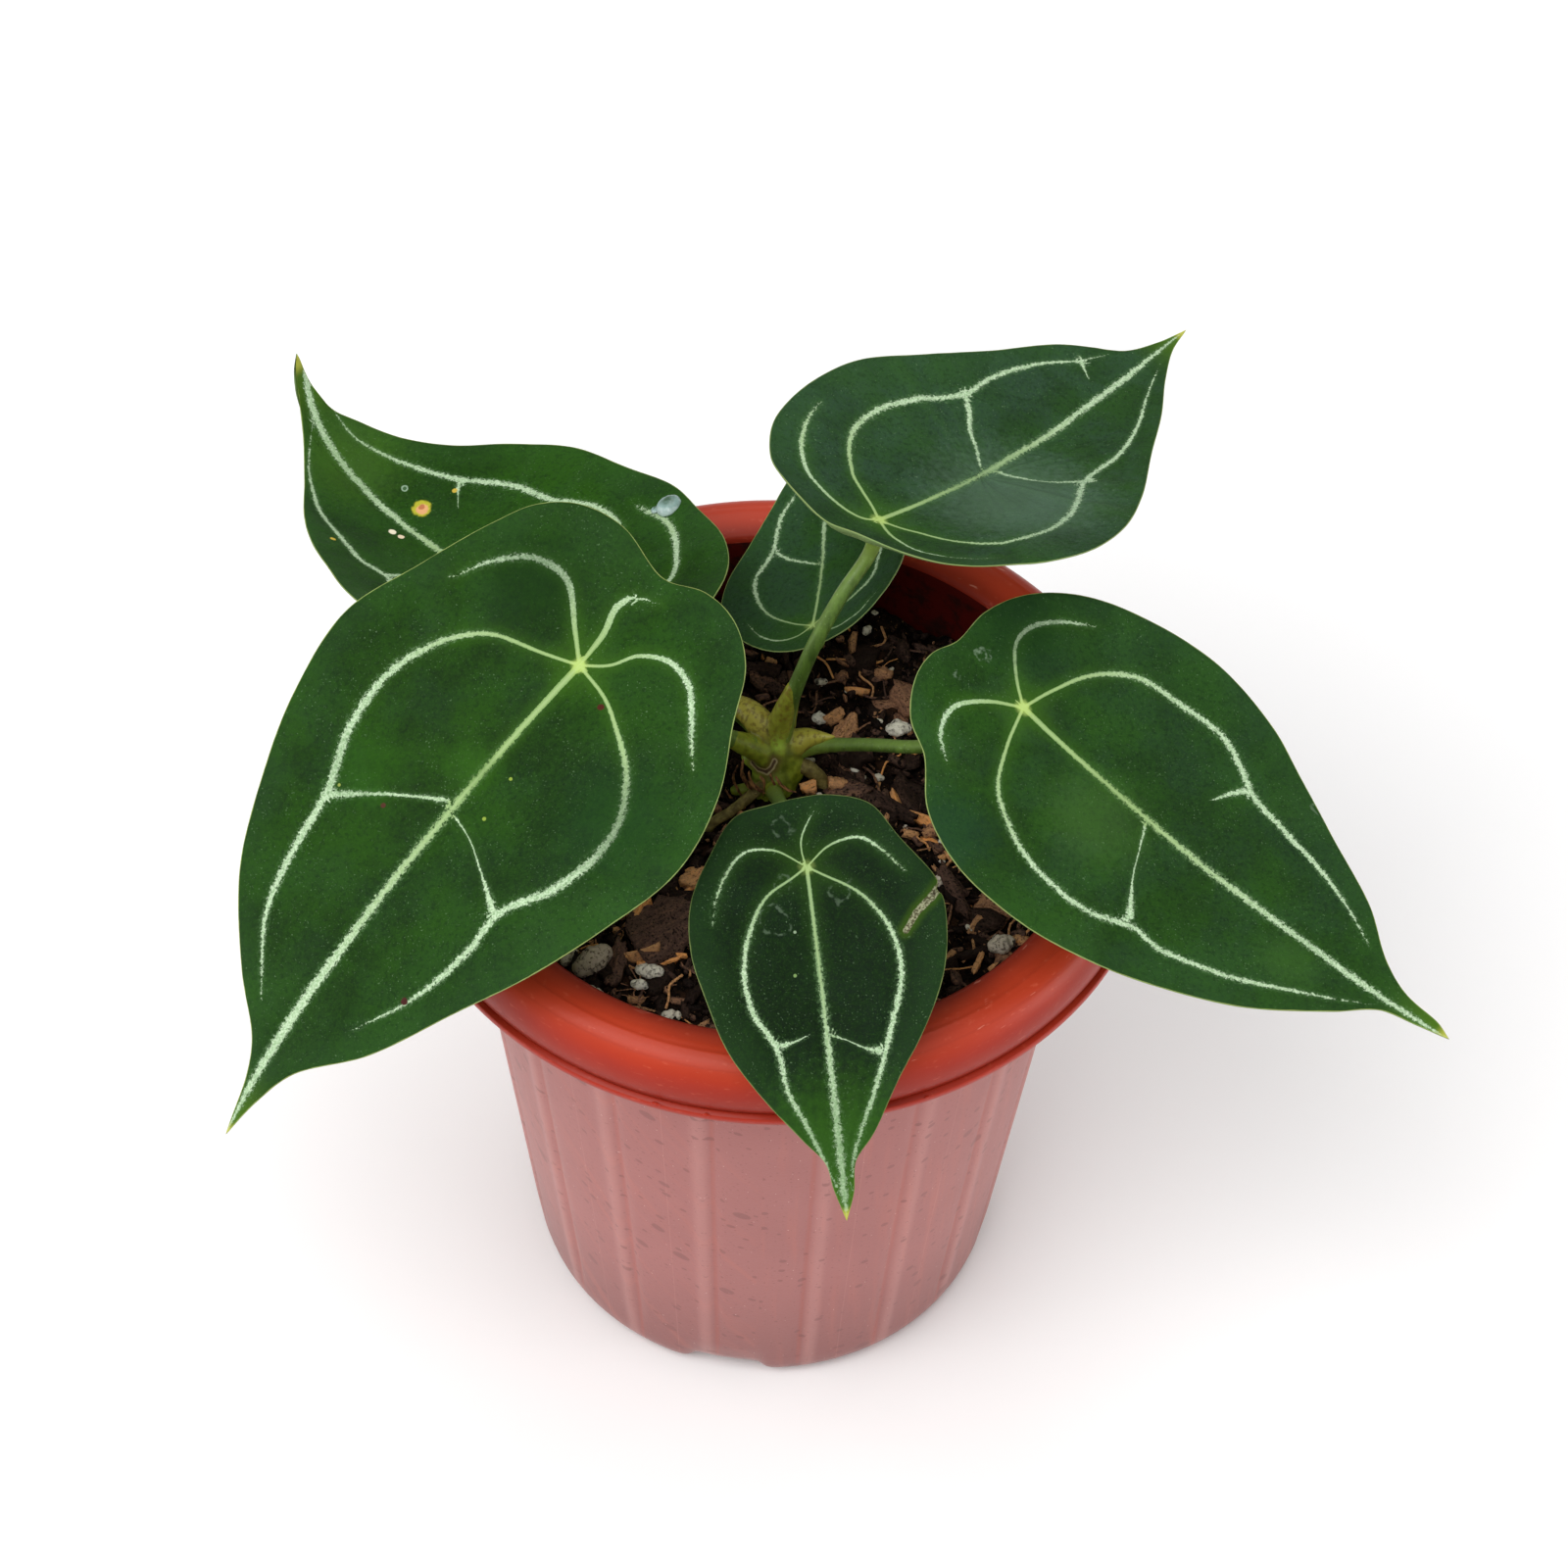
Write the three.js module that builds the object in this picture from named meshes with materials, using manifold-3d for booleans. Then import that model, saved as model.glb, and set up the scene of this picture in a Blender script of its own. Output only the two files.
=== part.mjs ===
// A potted Anthurium forgetii: a small aroid with velvety, silver-veined leaves, in a red plastic
// nursery pot with a rolled rim. Millimetres, +Z up, front towards -Y. The origin is the centre of
// the pot's underside, where the pot stands.
import * as THREE from 'three';
import { mergeVertices } from 'three/addons/utils/BufferGeometryUtils.js';
import Module from 'manifold-3d';

const wasm = await Module();
wasm.setup();

// Driving dimensions of the pot
const LIP_RADIUS = 80;
const LIP_BOTTOM = 142;
const LIP_TOP = 143.8;
const ROLL = { radius: 73, z: 147.5, wide: 6.3, high: 9, skin: 1.5 };
const LAND_RADIUS = 67;
const LAND_Z = 155;
const WALL_TOP_RADIUS = 67;
const WALL_BASE_RADIUS = 52.6;
const WALL_BASE_Z = 6;
const WALL = 1.7;
const FOOT_RADIUS = 46.5;
const FOOT_WIDTH = 2.5;
const FLOOR_Z = 5;
const FLOOR = 2;
const HUB_RADIUS = 29;
const FLUTES = 18;
const FLUTE_DEPTH = 0.45;
const FLUTE_SIDES = 3;
const FOOT_NOTCH = { count: 4, first: -8, width: 17, height: 2.8, slope: 34 };
const DRAIN_HOLE = { count: 8, radius: 3.5, circle: 37 };

// Driving dimensions of what grows in it
const GAP = 0.3;
const SOIL_LEVEL = 137;
const SOIL_BUMP = 1.3;
const BLADE_THICKNESS = 0.8;
const BLADE_RINGS = [0.32, 0.62, 0.84, 1];
const BLADE_CENTRE = 0.3;
const EDGE_DENSITY = 1.5;
const FOLD_WIDTH = 6;
const ACROSS = 0.6;

const PLASTIC_RED = 0xb84a32;
const SOIL_BROWN = 0x2a1d16;
const STEM_GREEN = 0x7d8f34;
const STALK_GREEN = 0x5d8440;
const ROOT_GREEN = 0x8a8f52;
const LEAF_GREEN = 0x1f4a26;

// Seeded random numbers, so that every build is alike
const seeded = (seed) => () => {
  seed = (seed * 1664525 + 1013904223) % 4294967296;
  return seed / 4294967296;
};

// Solids that can be joined and cut
const toSolid = (geometry) => {
  const bare = geometry.clone();
  bare.deleteAttribute('normal');
  bare.deleteAttribute('uv');
  const merged = mergeVertices(bare, 1e-4);
  const corners = merged.index.array;
  const kept = [];
  for (let i = 0; i < corners.length; i += 3) {
    const [a, b, c] = [corners[i], corners[i + 1], corners[i + 2]];
    if (a !== b && b !== c && c !== a) {
      kept.push(a, b, c);
    }
  }
  return new wasm.Manifold(new wasm.Mesh({
    numProp: 3,
    vertProperties: new Float32Array(merged.attributes.position.array),
    triVerts: new Uint32Array(kept),
  }));
};

const toGeometry = (solid) => {
  const mesh = solid.getMesh();
  const geometry = new THREE.BufferGeometry();
  geometry.setAttribute('position', new THREE.BufferAttribute(mesh.vertProperties, 3));
  geometry.setIndex(new THREE.BufferAttribute(mesh.triVerts, 1));
  geometry.computeVertexNormals();
  return geometry;
};

const plant = new THREE.Group();

const addPiece = (name, solid, color, roughness) => {
  const material = new THREE.MeshStandardMaterial({ color, roughness, metalness: 0 });
  const mesh = new THREE.Mesh(toGeometry(solid), material);
  mesh.name = name;
  plant.add(mesh);
};

// A closed body from a list of rings of points, each ring as long as the next, with a fan on each end
const ringsToSolid = (rings) => {
  const sides = rings[0].length;
  const points = rings.flat();
  const faces = [];
  for (let ring = 0; ring + 1 < rings.length; ring += 1) {
    for (let side = 0; side < sides; side += 1) {
      const next = (side + 1) % sides;
      const [a, b] = [ring * sides + side, ring * sides + next];
      faces.push(a, b, b + sides, a, b + sides, a + sides);
    }
  }
  const last = (rings.length - 1) * sides;
  for (let side = 1; side + 1 < sides; side += 1) {
    faces.push(0, side + 1, side);
    faces.push(last, last + side, last + side + 1);
  }
  const geometry = new THREE.BufferGeometry().setFromPoints(points);
  geometry.setIndex(faces);
  return toSolid(geometry);
};

// A round stalk along a smooth curve through the given points; each point is x, y, z and its radius
const stalk = (points, sides, steps, grown = 0) => {
  const curve = new THREE.CatmullRomCurve3(points.map((p) => new THREE.Vector3(p[0], p[1], p[2])));
  const frames = curve.computeFrenetFrames(steps);
  const rings = [];
  for (let step = 0; step <= steps; step += 1) {
    const along = curve.getUtoTmapping(step / steps);
    const centre = curve.getPoint(along);
    const reach = along * (points.length - 1);
    const start = Math.min(Math.floor(reach), points.length - 2);
    const radius = THREE.MathUtils.lerp(points[start][3], points[start + 1][3], reach - start) + grown;
    const ring = [];
    for (let side = 0; side < sides; side += 1) {
      const turn = (side / sides) * 2 * Math.PI;
      ring.push(centre.clone()
        .addScaledVector(frames.normals[step], radius * Math.cos(turn))
        .addScaledVector(frames.binormals[step], radius * Math.sin(turn)));
    }
    rings.push(ring);
  }
  return ringsToSolid(rings);
};

// The pot and the soil turn together, so that their facets lie side by side
const turned = (profile, sides) => {
  const outline = profile.map(([radius, z]) => new THREE.Vector2(radius, z));
  const halfFlute = Math.PI / FLUTES;
  return new THREE.LatheGeometry(outline, sides, halfFlute).rotateX(Math.PI / 2);
};

const potSides = FLUTES * FLUTE_SIDES;

const wallRadius = (z) => THREE.MathUtils.mapLinear(
  z, WALL_BASE_Z, LIP_BOTTOM, WALL_BASE_RADIUS, WALL_TOP_RADIUS);

const rollPoint = (degrees, inset) => {
  const angle = THREE.MathUtils.degToRad(degrees);
  return [
    ROLL.radius + (ROLL.wide - inset) * Math.cos(angle),
    ROLL.z + (ROLL.high - inset) * Math.sin(angle),
  ];
};

const makePot = () => {
  const recessZ = FLOOR_Z - FLOOR;
  // Radius and height, from the middle of the underside out, up the wall, over the rim and back inside
  const profile = [
    [0, 0],
    [HUB_RADIUS, 0],
    [HUB_RADIUS + 1.5, recessZ],
    [FOOT_RADIUS - FOOT_WIDTH - 1, recessZ],
    [FOOT_RADIUS - FOOT_WIDTH, 0],
    [FOOT_RADIUS, 0],
    [49.5, 0.9],
    [51.8, 3],
    [WALL_BASE_RADIUS, WALL_BASE_Z],
    [wallRadius(LIP_BOTTOM), LIP_BOTTOM],
    [67.4, 151.5],
    [69, 153.8],
    ...[90, 60, 30, 0].map((degrees) => rollPoint(degrees, ROLL.skin)),
    [76.6, LIP_BOTTOM],
    [LIP_RADIUS, LIP_BOTTOM],
    [LIP_RADIUS, LIP_TOP],
    [78.2, LIP_TOP + 0.1],
    ...[-19, 0, 20, 40, 60, 90].map((degrees) => rollPoint(degrees, 0)),
    [LAND_RADIUS, LAND_Z],
    [LAND_RADIUS - 0.8, LAND_Z - 0.8],
    [wallRadius(LIP_BOTTOM) - WALL + 0.2, LAND_Z - 3],
    [wallRadius(LIP_BOTTOM) - WALL, LIP_BOTTOM],
    [wallRadius(8) - WALL, 8],
    [wallRadius(8) - WALL - 1.5, FLOOR_Z + 0.5],
    [47, FLOOR_Z],
    [HUB_RADIUS + 2, FLOOR_Z],
    [HUB_RADIUS + 0.5, FLOOR],
    [0, FLOOR],
  ];
  const geometry = turned(profile, potSides);

  // The first of every few sides is drawn in, which leaves a soft groove between two flutes
  const place = geometry.attributes.position;
  const firstWallPoint = 8;
  const lastWallPoint = 9;
  for (let side = 0; side <= potSides; side += FLUTE_SIDES) {
    for (let point = firstWallPoint; point <= lastWallPoint; point += 1) {
      const index = side * profile.length + point;
      const radius = Math.hypot(place.getX(index), place.getY(index));
      const scale = (radius - FLUTE_DEPTH) / radius;
      place.setXY(index, place.getX(index) * scale, place.getY(index) * scale);
    }
  }

  let pot = toSolid(geometry);
  for (let notch = 0; notch < FOOT_NOTCH.count; notch += 1) {
    const turn = THREE.MathUtils.degToRad(FOOT_NOTCH.first + (notch * 360) / FOOT_NOTCH.count);
    const foot = new THREE.BoxGeometry(FOOT_NOTCH.width, 14, 2 * FOOT_NOTCH.height)
      .translate(0, -(FOOT_RADIUS + 2), 0)
      .rotateZ(turn);
    const corner = new THREE.BoxGeometry(FOOT_NOTCH.width, 20, 10)
      .translate(0, 0, -5)
      .rotateX(-THREE.MathUtils.degToRad(FOOT_NOTCH.slope))
      .translate(0, -FOOT_RADIUS, FOOT_NOTCH.height)
      .rotateZ(turn);
    pot = pot.subtract(toSolid(foot)).subtract(toSolid(corner));
  }
  for (let hole = 0; hole < DRAIN_HOLE.count; hole += 1) {
    const turn = (hole / DRAIN_HOLE.count) * 2 * Math.PI;
    const drill = new THREE.CylinderGeometry(DRAIN_HOLE.radius, DRAIN_HOLE.radius, 4 * FLOOR, 10)
      .rotateX(Math.PI / 2)
      .translate(DRAIN_HOLE.circle * Math.cos(turn), DRAIN_HOLE.circle * Math.sin(turn), FLOOR_Z - 1);
    pot = pot.subtract(toSolid(drill));
  }
  return pot;
};

// The crown: a short stem that leans back out of the soil; x, y, z and radius
const STEM = [
  [-1.2, 6, 116, 2.2],
  [-0.8, 8.5, 128, 4.2],
  [-0.4, 10.7, 137, 5.2],
  [-0.1, 13.2, 143, 4.6],
  [0.4, 14, 148, 3.6],
  [0.7, 14.6, 151, 2.2],
];

// Two aerial roots, from the crown's side down into the soil
const ROOTS = {
  root_right: [
    [2.5, 12, 141.5, 1.9], [7, 11.9, 142, 1.9], [10.1, 11.1, 138.5, 1.9], [11.6, 9.3, 134, 1.7],
    [12.4, 7.6, 128, 1.2],
  ],
  root_left: [
    [-2, 9.5, 140.5, 1.3], [-5.6, 5.6, 139.6, 1.3], [-9.5, 2.2, 138.6, 1.2], [-13.6, -0.6, 137.4, 1.1],
    [-17, -4.5, 133, 0.9],
  ],
};

// Ground shape: low seeded waves round the level
const groundHeight = (x, y) => SOIL_LEVEL
  + SOIL_BUMP * Math.sin(x / 9 + 0.7) * Math.cos(y / 11 - 0.4)
  + 0.6 * SOIL_BUMP * Math.sin(x / 4.3 - y / 5.1 + 1.9);

// A rough chip: a box whose eight corners are moved at random
const barkChip = (random, x, y, size, turn) => {
  const [long, wide, thick] = size;
  const geometry = new THREE.BoxGeometry(long, wide, thick);
  geometry.deleteAttribute('normal');
  geometry.deleteAttribute('uv');
  const chip = mergeVertices(geometry);
  const place = chip.attributes.position;
  for (let corner = 0; corner < place.count; corner += 1) {
    const shrink = () => 0.7 + 0.3 * random();
    place.setXYZ(
      corner, place.getX(corner) * shrink(), place.getY(corner) * shrink(), place.getZ(corner) * shrink());
  }
  chip.rotateX((random() - 0.5) * 0.5);
  chip.rotateY((random() - 0.5) * 0.5);
  chip.rotateZ(turn);
  chip.translate(x, y, groundHeight(x, y));
  return toSolid(chip);
};

// A rounded grain of perlite or pumice
const grain = (random, x, y, radius, stretch) => {
  const geometry = new THREE.IcosahedronGeometry(radius, 0);
  geometry.scale(stretch, 1, 0.85);
  geometry.rotateZ(random() * Math.PI);
  geometry.translate(x, y, groundHeight(x, y));
  return toSolid(geometry);
};

// Pieces of the mix that catch the eye: x, y, length, width, thickness and turn in degrees
const CHIPS = [
  [-22, -30, 17, 12, 5, 40],
  [-30, -27, 9, 4, 3, 80],
  [-37, -24, 8, 5, 3, 20],
  [14, 27, 9, 5, 3, 60],
  [17, 38, 8, 3, 2.5, -20],
  [27, 36, 8, 5, 3, -50],
  [21, 8, 22, 4, 3, -38],
  [45, 12, 10, 5, 3, 70],
  [38, -18, 13, 3, 2.5, -65],
  [36, 2, 11, 4, 3, 30],
  [-12, -22, 8, 5, 3, 65],
];

// Grains of perlite and pumice: x, y, radius and stretch
const GRAINS = [
  [9, 30, 1.9, 1],
  [11, 39, 1.5, 1.3],
  [17, 14, 1.6, 2],
  [26, 26, 2.4, 1.2],
  [35, -15, 1.8, 1],
  [48, -31, 3, 1.1],
  [-25, -40, 2.8, 1.2],
  [-37, -38, 4, 1.35],
  [22, 13, 1.3, 1],
];

const makeSoil = () => {
  const inside = (z) => wallRadius(z) - WALL - GAP;
  const rim = inside(SOIL_LEVEL);
  const rings = [0.93, 0.8, 0.63, 0.45, 0.25];
  const profile = [
    [0, FLOOR + GAP],
    [HUB_RADIUS, FLOOR + GAP],
    [HUB_RADIUS + 2, FLOOR_Z + GAP],
    [46.5, FLOOR_Z + GAP],
    [inside(8) - 1.6, FLOOR_Z + 0.5 + GAP],
    [inside(8), 8 + GAP],
    [rim, SOIL_LEVEL],
    ...rings.map((share) => [share * rim, SOIL_LEVEL]),
    [0, SOIL_LEVEL],
  ];
  const geometry = turned(profile, potSides);
  const place = geometry.attributes.position;
  for (let index = 0; index < place.count; index += 1) {
    if (place.getZ(index) > SOIL_LEVEL - 1) {
      place.setZ(index, groundHeight(place.getX(index), place.getY(index)));
    }
  }
  let soil = toSolid(geometry);

  const random = seeded(7);
  CHIPS.forEach(([x, y, long, wide, thick, turn]) => {
    soil = soil.add(barkChip(random, x, y, [long, wide, thick], THREE.MathUtils.degToRad(turn)));
  });
  GRAINS.forEach(([x, y, radius, stretch]) => {
    soil = soil.add(grain(random, x, y, radius, stretch));
  });
  const scattered = 24;
  const goldenTurn = Math.PI * (3 - Math.sqrt(5));
  for (let piece = 0; piece < scattered; piece += 1) {
    const reach = (rim - 7) * Math.sqrt((piece + 0.5) / scattered);
    const turn = piece * goldenTurn + random();
    const [x, y] = [reach * Math.cos(turn), reach * Math.sin(turn)];
    if (piece % 5 === 4) {
      soil = soil.add(grain(random, x, y, 1.2 + 0.8 * random(), 1.2));
    } else {
      const long = 6 + 6 * random();
      const size = [long, 2.5 + 0.3 * long * random(), 2.5 + random()];
      soil = soil.add(barkChip(random, x, y, size, random() * Math.PI));
    }
  }
  soil = soil.subtract(stalk(STEM, 12, 14, GAP));
  Object.values(ROOTS).forEach((points) => {
    soil = soil.subtract(stalk(points, 8, 10, GAP));
  });
  return soil;
};

// The leaves. Each blade lies on its own curved sheet: u runs from the stalk's joint towards the tip
// and v to the left of it, seen from above. The sheet starts at joint, heads along yaw, pitch and roll
// in degrees, and curves by the rest: bend along its whole length, curl in its last part, back behind
// the joint, fold and cup across it, side and twist along it. The edges are u, v in millimetres.
const LEAVES = {
  front_left: {
    joint: [-40.2, -7.3, 197],
    yaw: 227.1,
    pitch: -17.9,
    roll: -4.2,
    length: 122,
    bend: -30.2,
    curl: -13.5,
    back: 7.7,
    fold: 0.107,
    cup: -0.039,
    side: 0,
    twist: 0,
    left: [[111, 3], [101, 7], [87, 19], [69, 29], [54, 37], [38, 43], [20, 47], [4, 43], [-10, 34],
      [-21, 27], [-27, 18], [-28, 9]],
    heel: -25,
    right: [[108, -2], [101, -5], [91, -15], [75, -28], [58, -36], [41, -42], [22, -45], [5, -40], [-11, -35],
      [-20, -31], [-26, -24], [-28, -14]],
    stalk: [[-1, 12.4, 142, 2.6], [-4.6, 12, 148.4, 2.4], [-9.5, 10.8, 152.5, 2], [-19.1, 4.6, 166, 1.7],
      [-31.5, -3, 183.5, 1.6]],
  },
  back_left: {
    joint: [-39.5, 24.9, 176],
    yaw: 147.4,
    pitch: -24.1,
    roll: 15.7,
    length: 111.5,
    bend: 32,
    curl: 61.3,
    back: -1.4,
    fold: 0.263,
    cup: 0.12,
    side: -0.21,
    twist: 1.7,
    left: [[103, 0], [94, 5], [84, 13], [71, 23], [60, 29], [49, 33], [36, 38], [24, 41], [8, 39], [-5, 34],
      [-16, 27], [-24, 17], [-27, 6]],
    heel: -27,
    right: [[104, -3], [98, -5], [91, -10], [80, -16], [69, -23], [57, -32], [42, -39], [25, -40], [9, -39],
      [-3, -34], [-16, -27], [-24, -18], [-27, -8]],
    stalk: [[-0.4, 14, 146, 2.8], [-4.6, 19, 147.6, 2.5], [-9.5, 20.8, 151, 2.1], [-18, 22.6, 156.5, 1.8],
      [-30, 24.4, 164.6, 1.6]],
  },
  back_right: {
    joint: [19.4, 27.4, 205],
    yaw: 43.9,
    pitch: -19.4,
    roll: -5.5,
    length: 105.7,
    bend: 15.2,
    curl: -9.5,
    back: 83.8,
    fold: 0.272,
    cup: 0.014,
    side: 0.094,
    twist: 6.3,
    left: [[97, 2], [89, 5], [83, 10], [75, 16], [60, 23], [45, 30], [29, 36], [14, 36], [0, 32], [-9, 26],
      [-17, 18], [-20, 9]],
    heel: -19,
    right: [[99, -2], [89, -7], [78, -14], [65, -21], [48, -31], [34, -37], [21, -39], [9, -37], [0, -32],
      [-9, -26], [-16, -18], [-20, -9]],
    stalk: [[0.4, 14.2, 148, 2.9], [0.9, 16, 153, 2.6], [3.3, 15.4, 164, 1.9], [6.7, 15.9, 177, 1.7],
      [12, 19.7, 189, 1.6]],
  },
  right: {
    joint: [49.6, -8.7, 190],
    yaw: -35.4,
    pitch: -24.1,
    roll: -3.1,
    length: 108.6,
    bend: 18.9,
    curl: 5.5,
    back: 5.2,
    fold: 0.042,
    cup: -0.021,
    side: 0,
    twist: 0,
    left: [[105, 2], [96, 4], [89, 8], [79, 17], [65, 25], [52, 32], [40, 38], [24, 41], [8, 38], [-6, 31],
      [-15, 21], [-19, 10]],
    heel: -19,
    right: [[102, -1], [94, -3], [87, -10], [73, -22], [59, -30], [45, -36], [29, -40], [12, -40], [0, -35],
      [-8, -26], [-15, -22], [-20, -14], [-21, -7]],
    stalk: [[0.6, 13.6, 143.5, 2.9], [5.4, 14.6, 146, 2.6], [11.8, 12.2, 150, 2], [19.9, 6.9, 157, 1.7],
      [29.9, -1.2, 167, 1.6], [40.5, -7.6, 178.5, 1.6]],
  },
  front: {
    joint: [6.8, -43.4, 180],
    yaw: -81.2,
    pitch: -16.1,
    roll: 2.2,
    length: 70.9,
    bend: -23.5,
    curl: -3.7,
    back: 4.8,
    fold: 0.089,
    cup: 0.002,
    side: 0,
    twist: 0,
    left: [[66, 2], [60, 3], [55, 7], [45, 13], [36, 19], [26, 24], [17, 26], [5, 25], [-4, 19], [-12, 14],
      [-15, 6]],
    heel: -15,
    right: [[65, -2], [60, -3], [55, -7], [46, -14], [36, -20], [26, -23], [16, -25], [6, -24], [-4, -19],
      [-12, -13], [-14, -6]],
    stalk: [[-0.3, 11, 141.5, 2.3], [-0.2, 5.4, 145, 2], [1.2, -4.3, 152, 1.6], [3.2, -19.3, 163, 1.4],
      [5.6, -36, 173.5, 1.4]],
  },
  back: {
    joint: [6.6, 29.9, 168],
    yaw: 82.5,
    pitch: -12.4,
    roll: -25.6,
    length: 56.6,
    bend: 33,
    curl: 0,
    back: 24.7,
    fold: 0.222,
    cup: 0.069,
    side: 0,
    twist: 8.5,
    left: [[50, 3], [43, 8], [35, 12], [26, 16], [15, 20], [5, 20], [-2, 16], [-8, 9], [-10, 3]],
    heel: -10,
    right: [[50, -3], [43, -8], [33, -14], [22, -19], [13, -21], [4, -19], [-5, -14], [-10, -9]],
    stalk: [[0.2, 13.5, 144, 2], [2.4, 18.8, 147.6, 1.8], [4.6, 24, 152, 1.4], [7.4, 29.4, 159.5, 1.3]],
  },
};

// The directions of a blade at its joint: along the midrib, to its left, and up out of it
const bladeFrame = (leaf) => {
  const yaw = THREE.MathUtils.degToRad(leaf.yaw);
  const pitch = THREE.MathUtils.degToRad(leaf.pitch);
  const roll = THREE.MathUtils.degToRad(leaf.roll);
  const along = new THREE.Vector3(
    Math.cos(pitch) * Math.cos(yaw), Math.cos(pitch) * Math.sin(yaw), Math.sin(pitch));
  const level = new THREE.Vector3(-Math.sin(yaw), Math.cos(yaw), 0);
  const over = new THREE.Vector3().crossVectors(along, level);
  const left = level.clone().multiplyScalar(Math.cos(roll)).addScaledVector(over, Math.sin(roll));
  const up = over.clone().multiplyScalar(Math.cos(roll)).addScaledVector(level, -Math.sin(roll));
  return { along, left, up, joint: new THREE.Vector3(...leaf.joint) };
};

// The midrib's slope at u, and the point that it reaches there
const CURL_START = 0.7;
const BACK_REACH = 0.25;
const slope = (leaf, u) => {
  const share = u / leaf.length;
  const curled = THREE.MathUtils.clamp((share - CURL_START) / (1 - CURL_START), 0, 1.3);
  const raised = THREE.MathUtils.clamp(-share / BACK_REACH, 0, 2);
  return THREE.MathUtils.degToRad(leaf.bend * share + leaf.curl * curled ** 2 - leaf.back * raised ** 2);
};

const midrib = (leaf, u) => {
  const steps = 32;
  let [forward, rise] = [0, 0];
  for (let step = 0; step < steps; step += 1) {
    const angle = slope(leaf, (u * (step + 0.5)) / steps);
    forward += (Math.cos(angle) * u) / steps;
    rise += (Math.sin(angle) * u) / steps;
  }
  return [forward, rise];
};

// A point of the blade's sheet
const sheetPoint = (leaf, frame, u, v) => {
  const share = u / leaf.length;
  const folded = leaf.fold * (Math.hypot(v, FOLD_WIDTH) - FOLD_WIDTH);
  const lift = folded + (leaf.cup * v * v) / (ACROSS * leaf.length);
  const twist = THREE.MathUtils.degToRad(leaf.twist * share);
  const sway = leaf.side * leaf.length * THREE.MathUtils.clamp(share, 0, 2) ** 2;
  const across = Math.cos(twist) * v - Math.sin(twist) * lift + sway;
  const above = Math.sin(twist) * v + Math.cos(twist) * lift;
  const angle = slope(leaf, u);
  const [forward, rise] = midrib(leaf, u);
  return frame.joint.clone()
    .addScaledVector(frame.along, forward - Math.sin(angle) * above)
    .addScaledVector(frame.up, rise + Math.cos(angle) * above)
    .addScaledVector(frame.left, across);
};

const sheetNormal = (leaf, frame, u, v) => {
  const nudge = 0.05;
  const alongU = sheetPoint(leaf, frame, u + nudge, v).sub(sheetPoint(leaf, frame, u - nudge, v));
  const alongV = sheetPoint(leaf, frame, u, v + nudge).sub(sheetPoint(leaf, frame, u, v - nudge));
  return alongU.cross(alongV).normalize();
};

// The outline runs from the sharp tip down the left edge, round the heel and up the right edge
const bladeOutline = (leaf) => {
  const tip = [leaf.length, 0];
  const points = [tip, ...leaf.left, [leaf.heel, 0], ...[...leaf.right].reverse(), tip];
  const curve = new THREE.CatmullRomCurve3(
    points.map(([u, v]) => new THREE.Vector3(u, v, 0)), false, 'centripetal');
  const samples = Math.round(EDGE_DENSITY * (points.length - 1));
  return Array.from({ length: samples }, (_, index) => curve.getPoint(index / samples));
};

// A blade is two like faces, half its thickness above and below the sheet, joined round the edge
const makeBlade = (leaf) => {
  const frame = bladeFrame(leaf);
  const outline = bladeOutline(leaf);
  const centreU = BLADE_CENTRE * leaf.length;
  const sides = outline.length;
  const flat = [[centreU, 0]];
  BLADE_RINGS.forEach((share) => {
    outline.forEach(({ x, y }) => flat.push([centreU + share * (x - centreU), share * y]));
  });
  const top = flat.map(([u, v]) => sheetPoint(leaf, frame, u, v)
    .addScaledVector(sheetNormal(leaf, frame, u, v), BLADE_THICKNESS / 2));
  const bottom = flat.map(([u, v]) => sheetPoint(leaf, frame, u, v)
    .addScaledVector(sheetNormal(leaf, frame, u, v), -BLADE_THICKNESS / 2));
  const faces = [];
  const both = (a, b, c) => {
    faces.push(a, b, c);
    faces.push(a + flat.length, c + flat.length, b + flat.length);
  };
  for (let side = 0; side < sides; side += 1) {
    const next = (side + 1) % sides;
    both(0, 1 + side, 1 + next);
    for (let ring = 0; ring + 1 < BLADE_RINGS.length; ring += 1) {
      const inner = 1 + ring * sides;
      const outer = inner + sides;
      both(inner + side, outer + side, outer + next);
      both(inner + side, outer + next, inner + next);
    }
    const edge = 1 + (BLADE_RINGS.length - 1) * sides;
    const [a, b] = [edge + side, edge + next];
    faces.push(a, a + flat.length, b + flat.length);
    faces.push(a, b + flat.length, b);
  }
  const geometry = new THREE.BufferGeometry().setFromPoints([...top, ...bottom]);
  geometry.setIndex(faces);
  return toSolid(geometry);
};

// A leaf stalk ends square to the blade, just under it
const stalkPoints = (leaf) => {
  const frame = bladeFrame(leaf);
  const radius = leaf.stalk.at(-1)[3];
  const under = (depth) => [...frame.joint.clone().addScaledVector(frame.up, -depth).toArray(), radius];
  const end = BLADE_THICKNESS / 2 + GAP + 0.1;
  return [...leaf.stalk, under(4.5 * radius), under(end)];
};

addPiece('pot', makePot(), PLASTIC_RED, 0.45);
addPiece('soil', makeSoil(), SOIL_BROWN, 0.95);
addPiece('stem', stalk(STEM, 12, 14), STEM_GREEN, 0.6);

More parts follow.
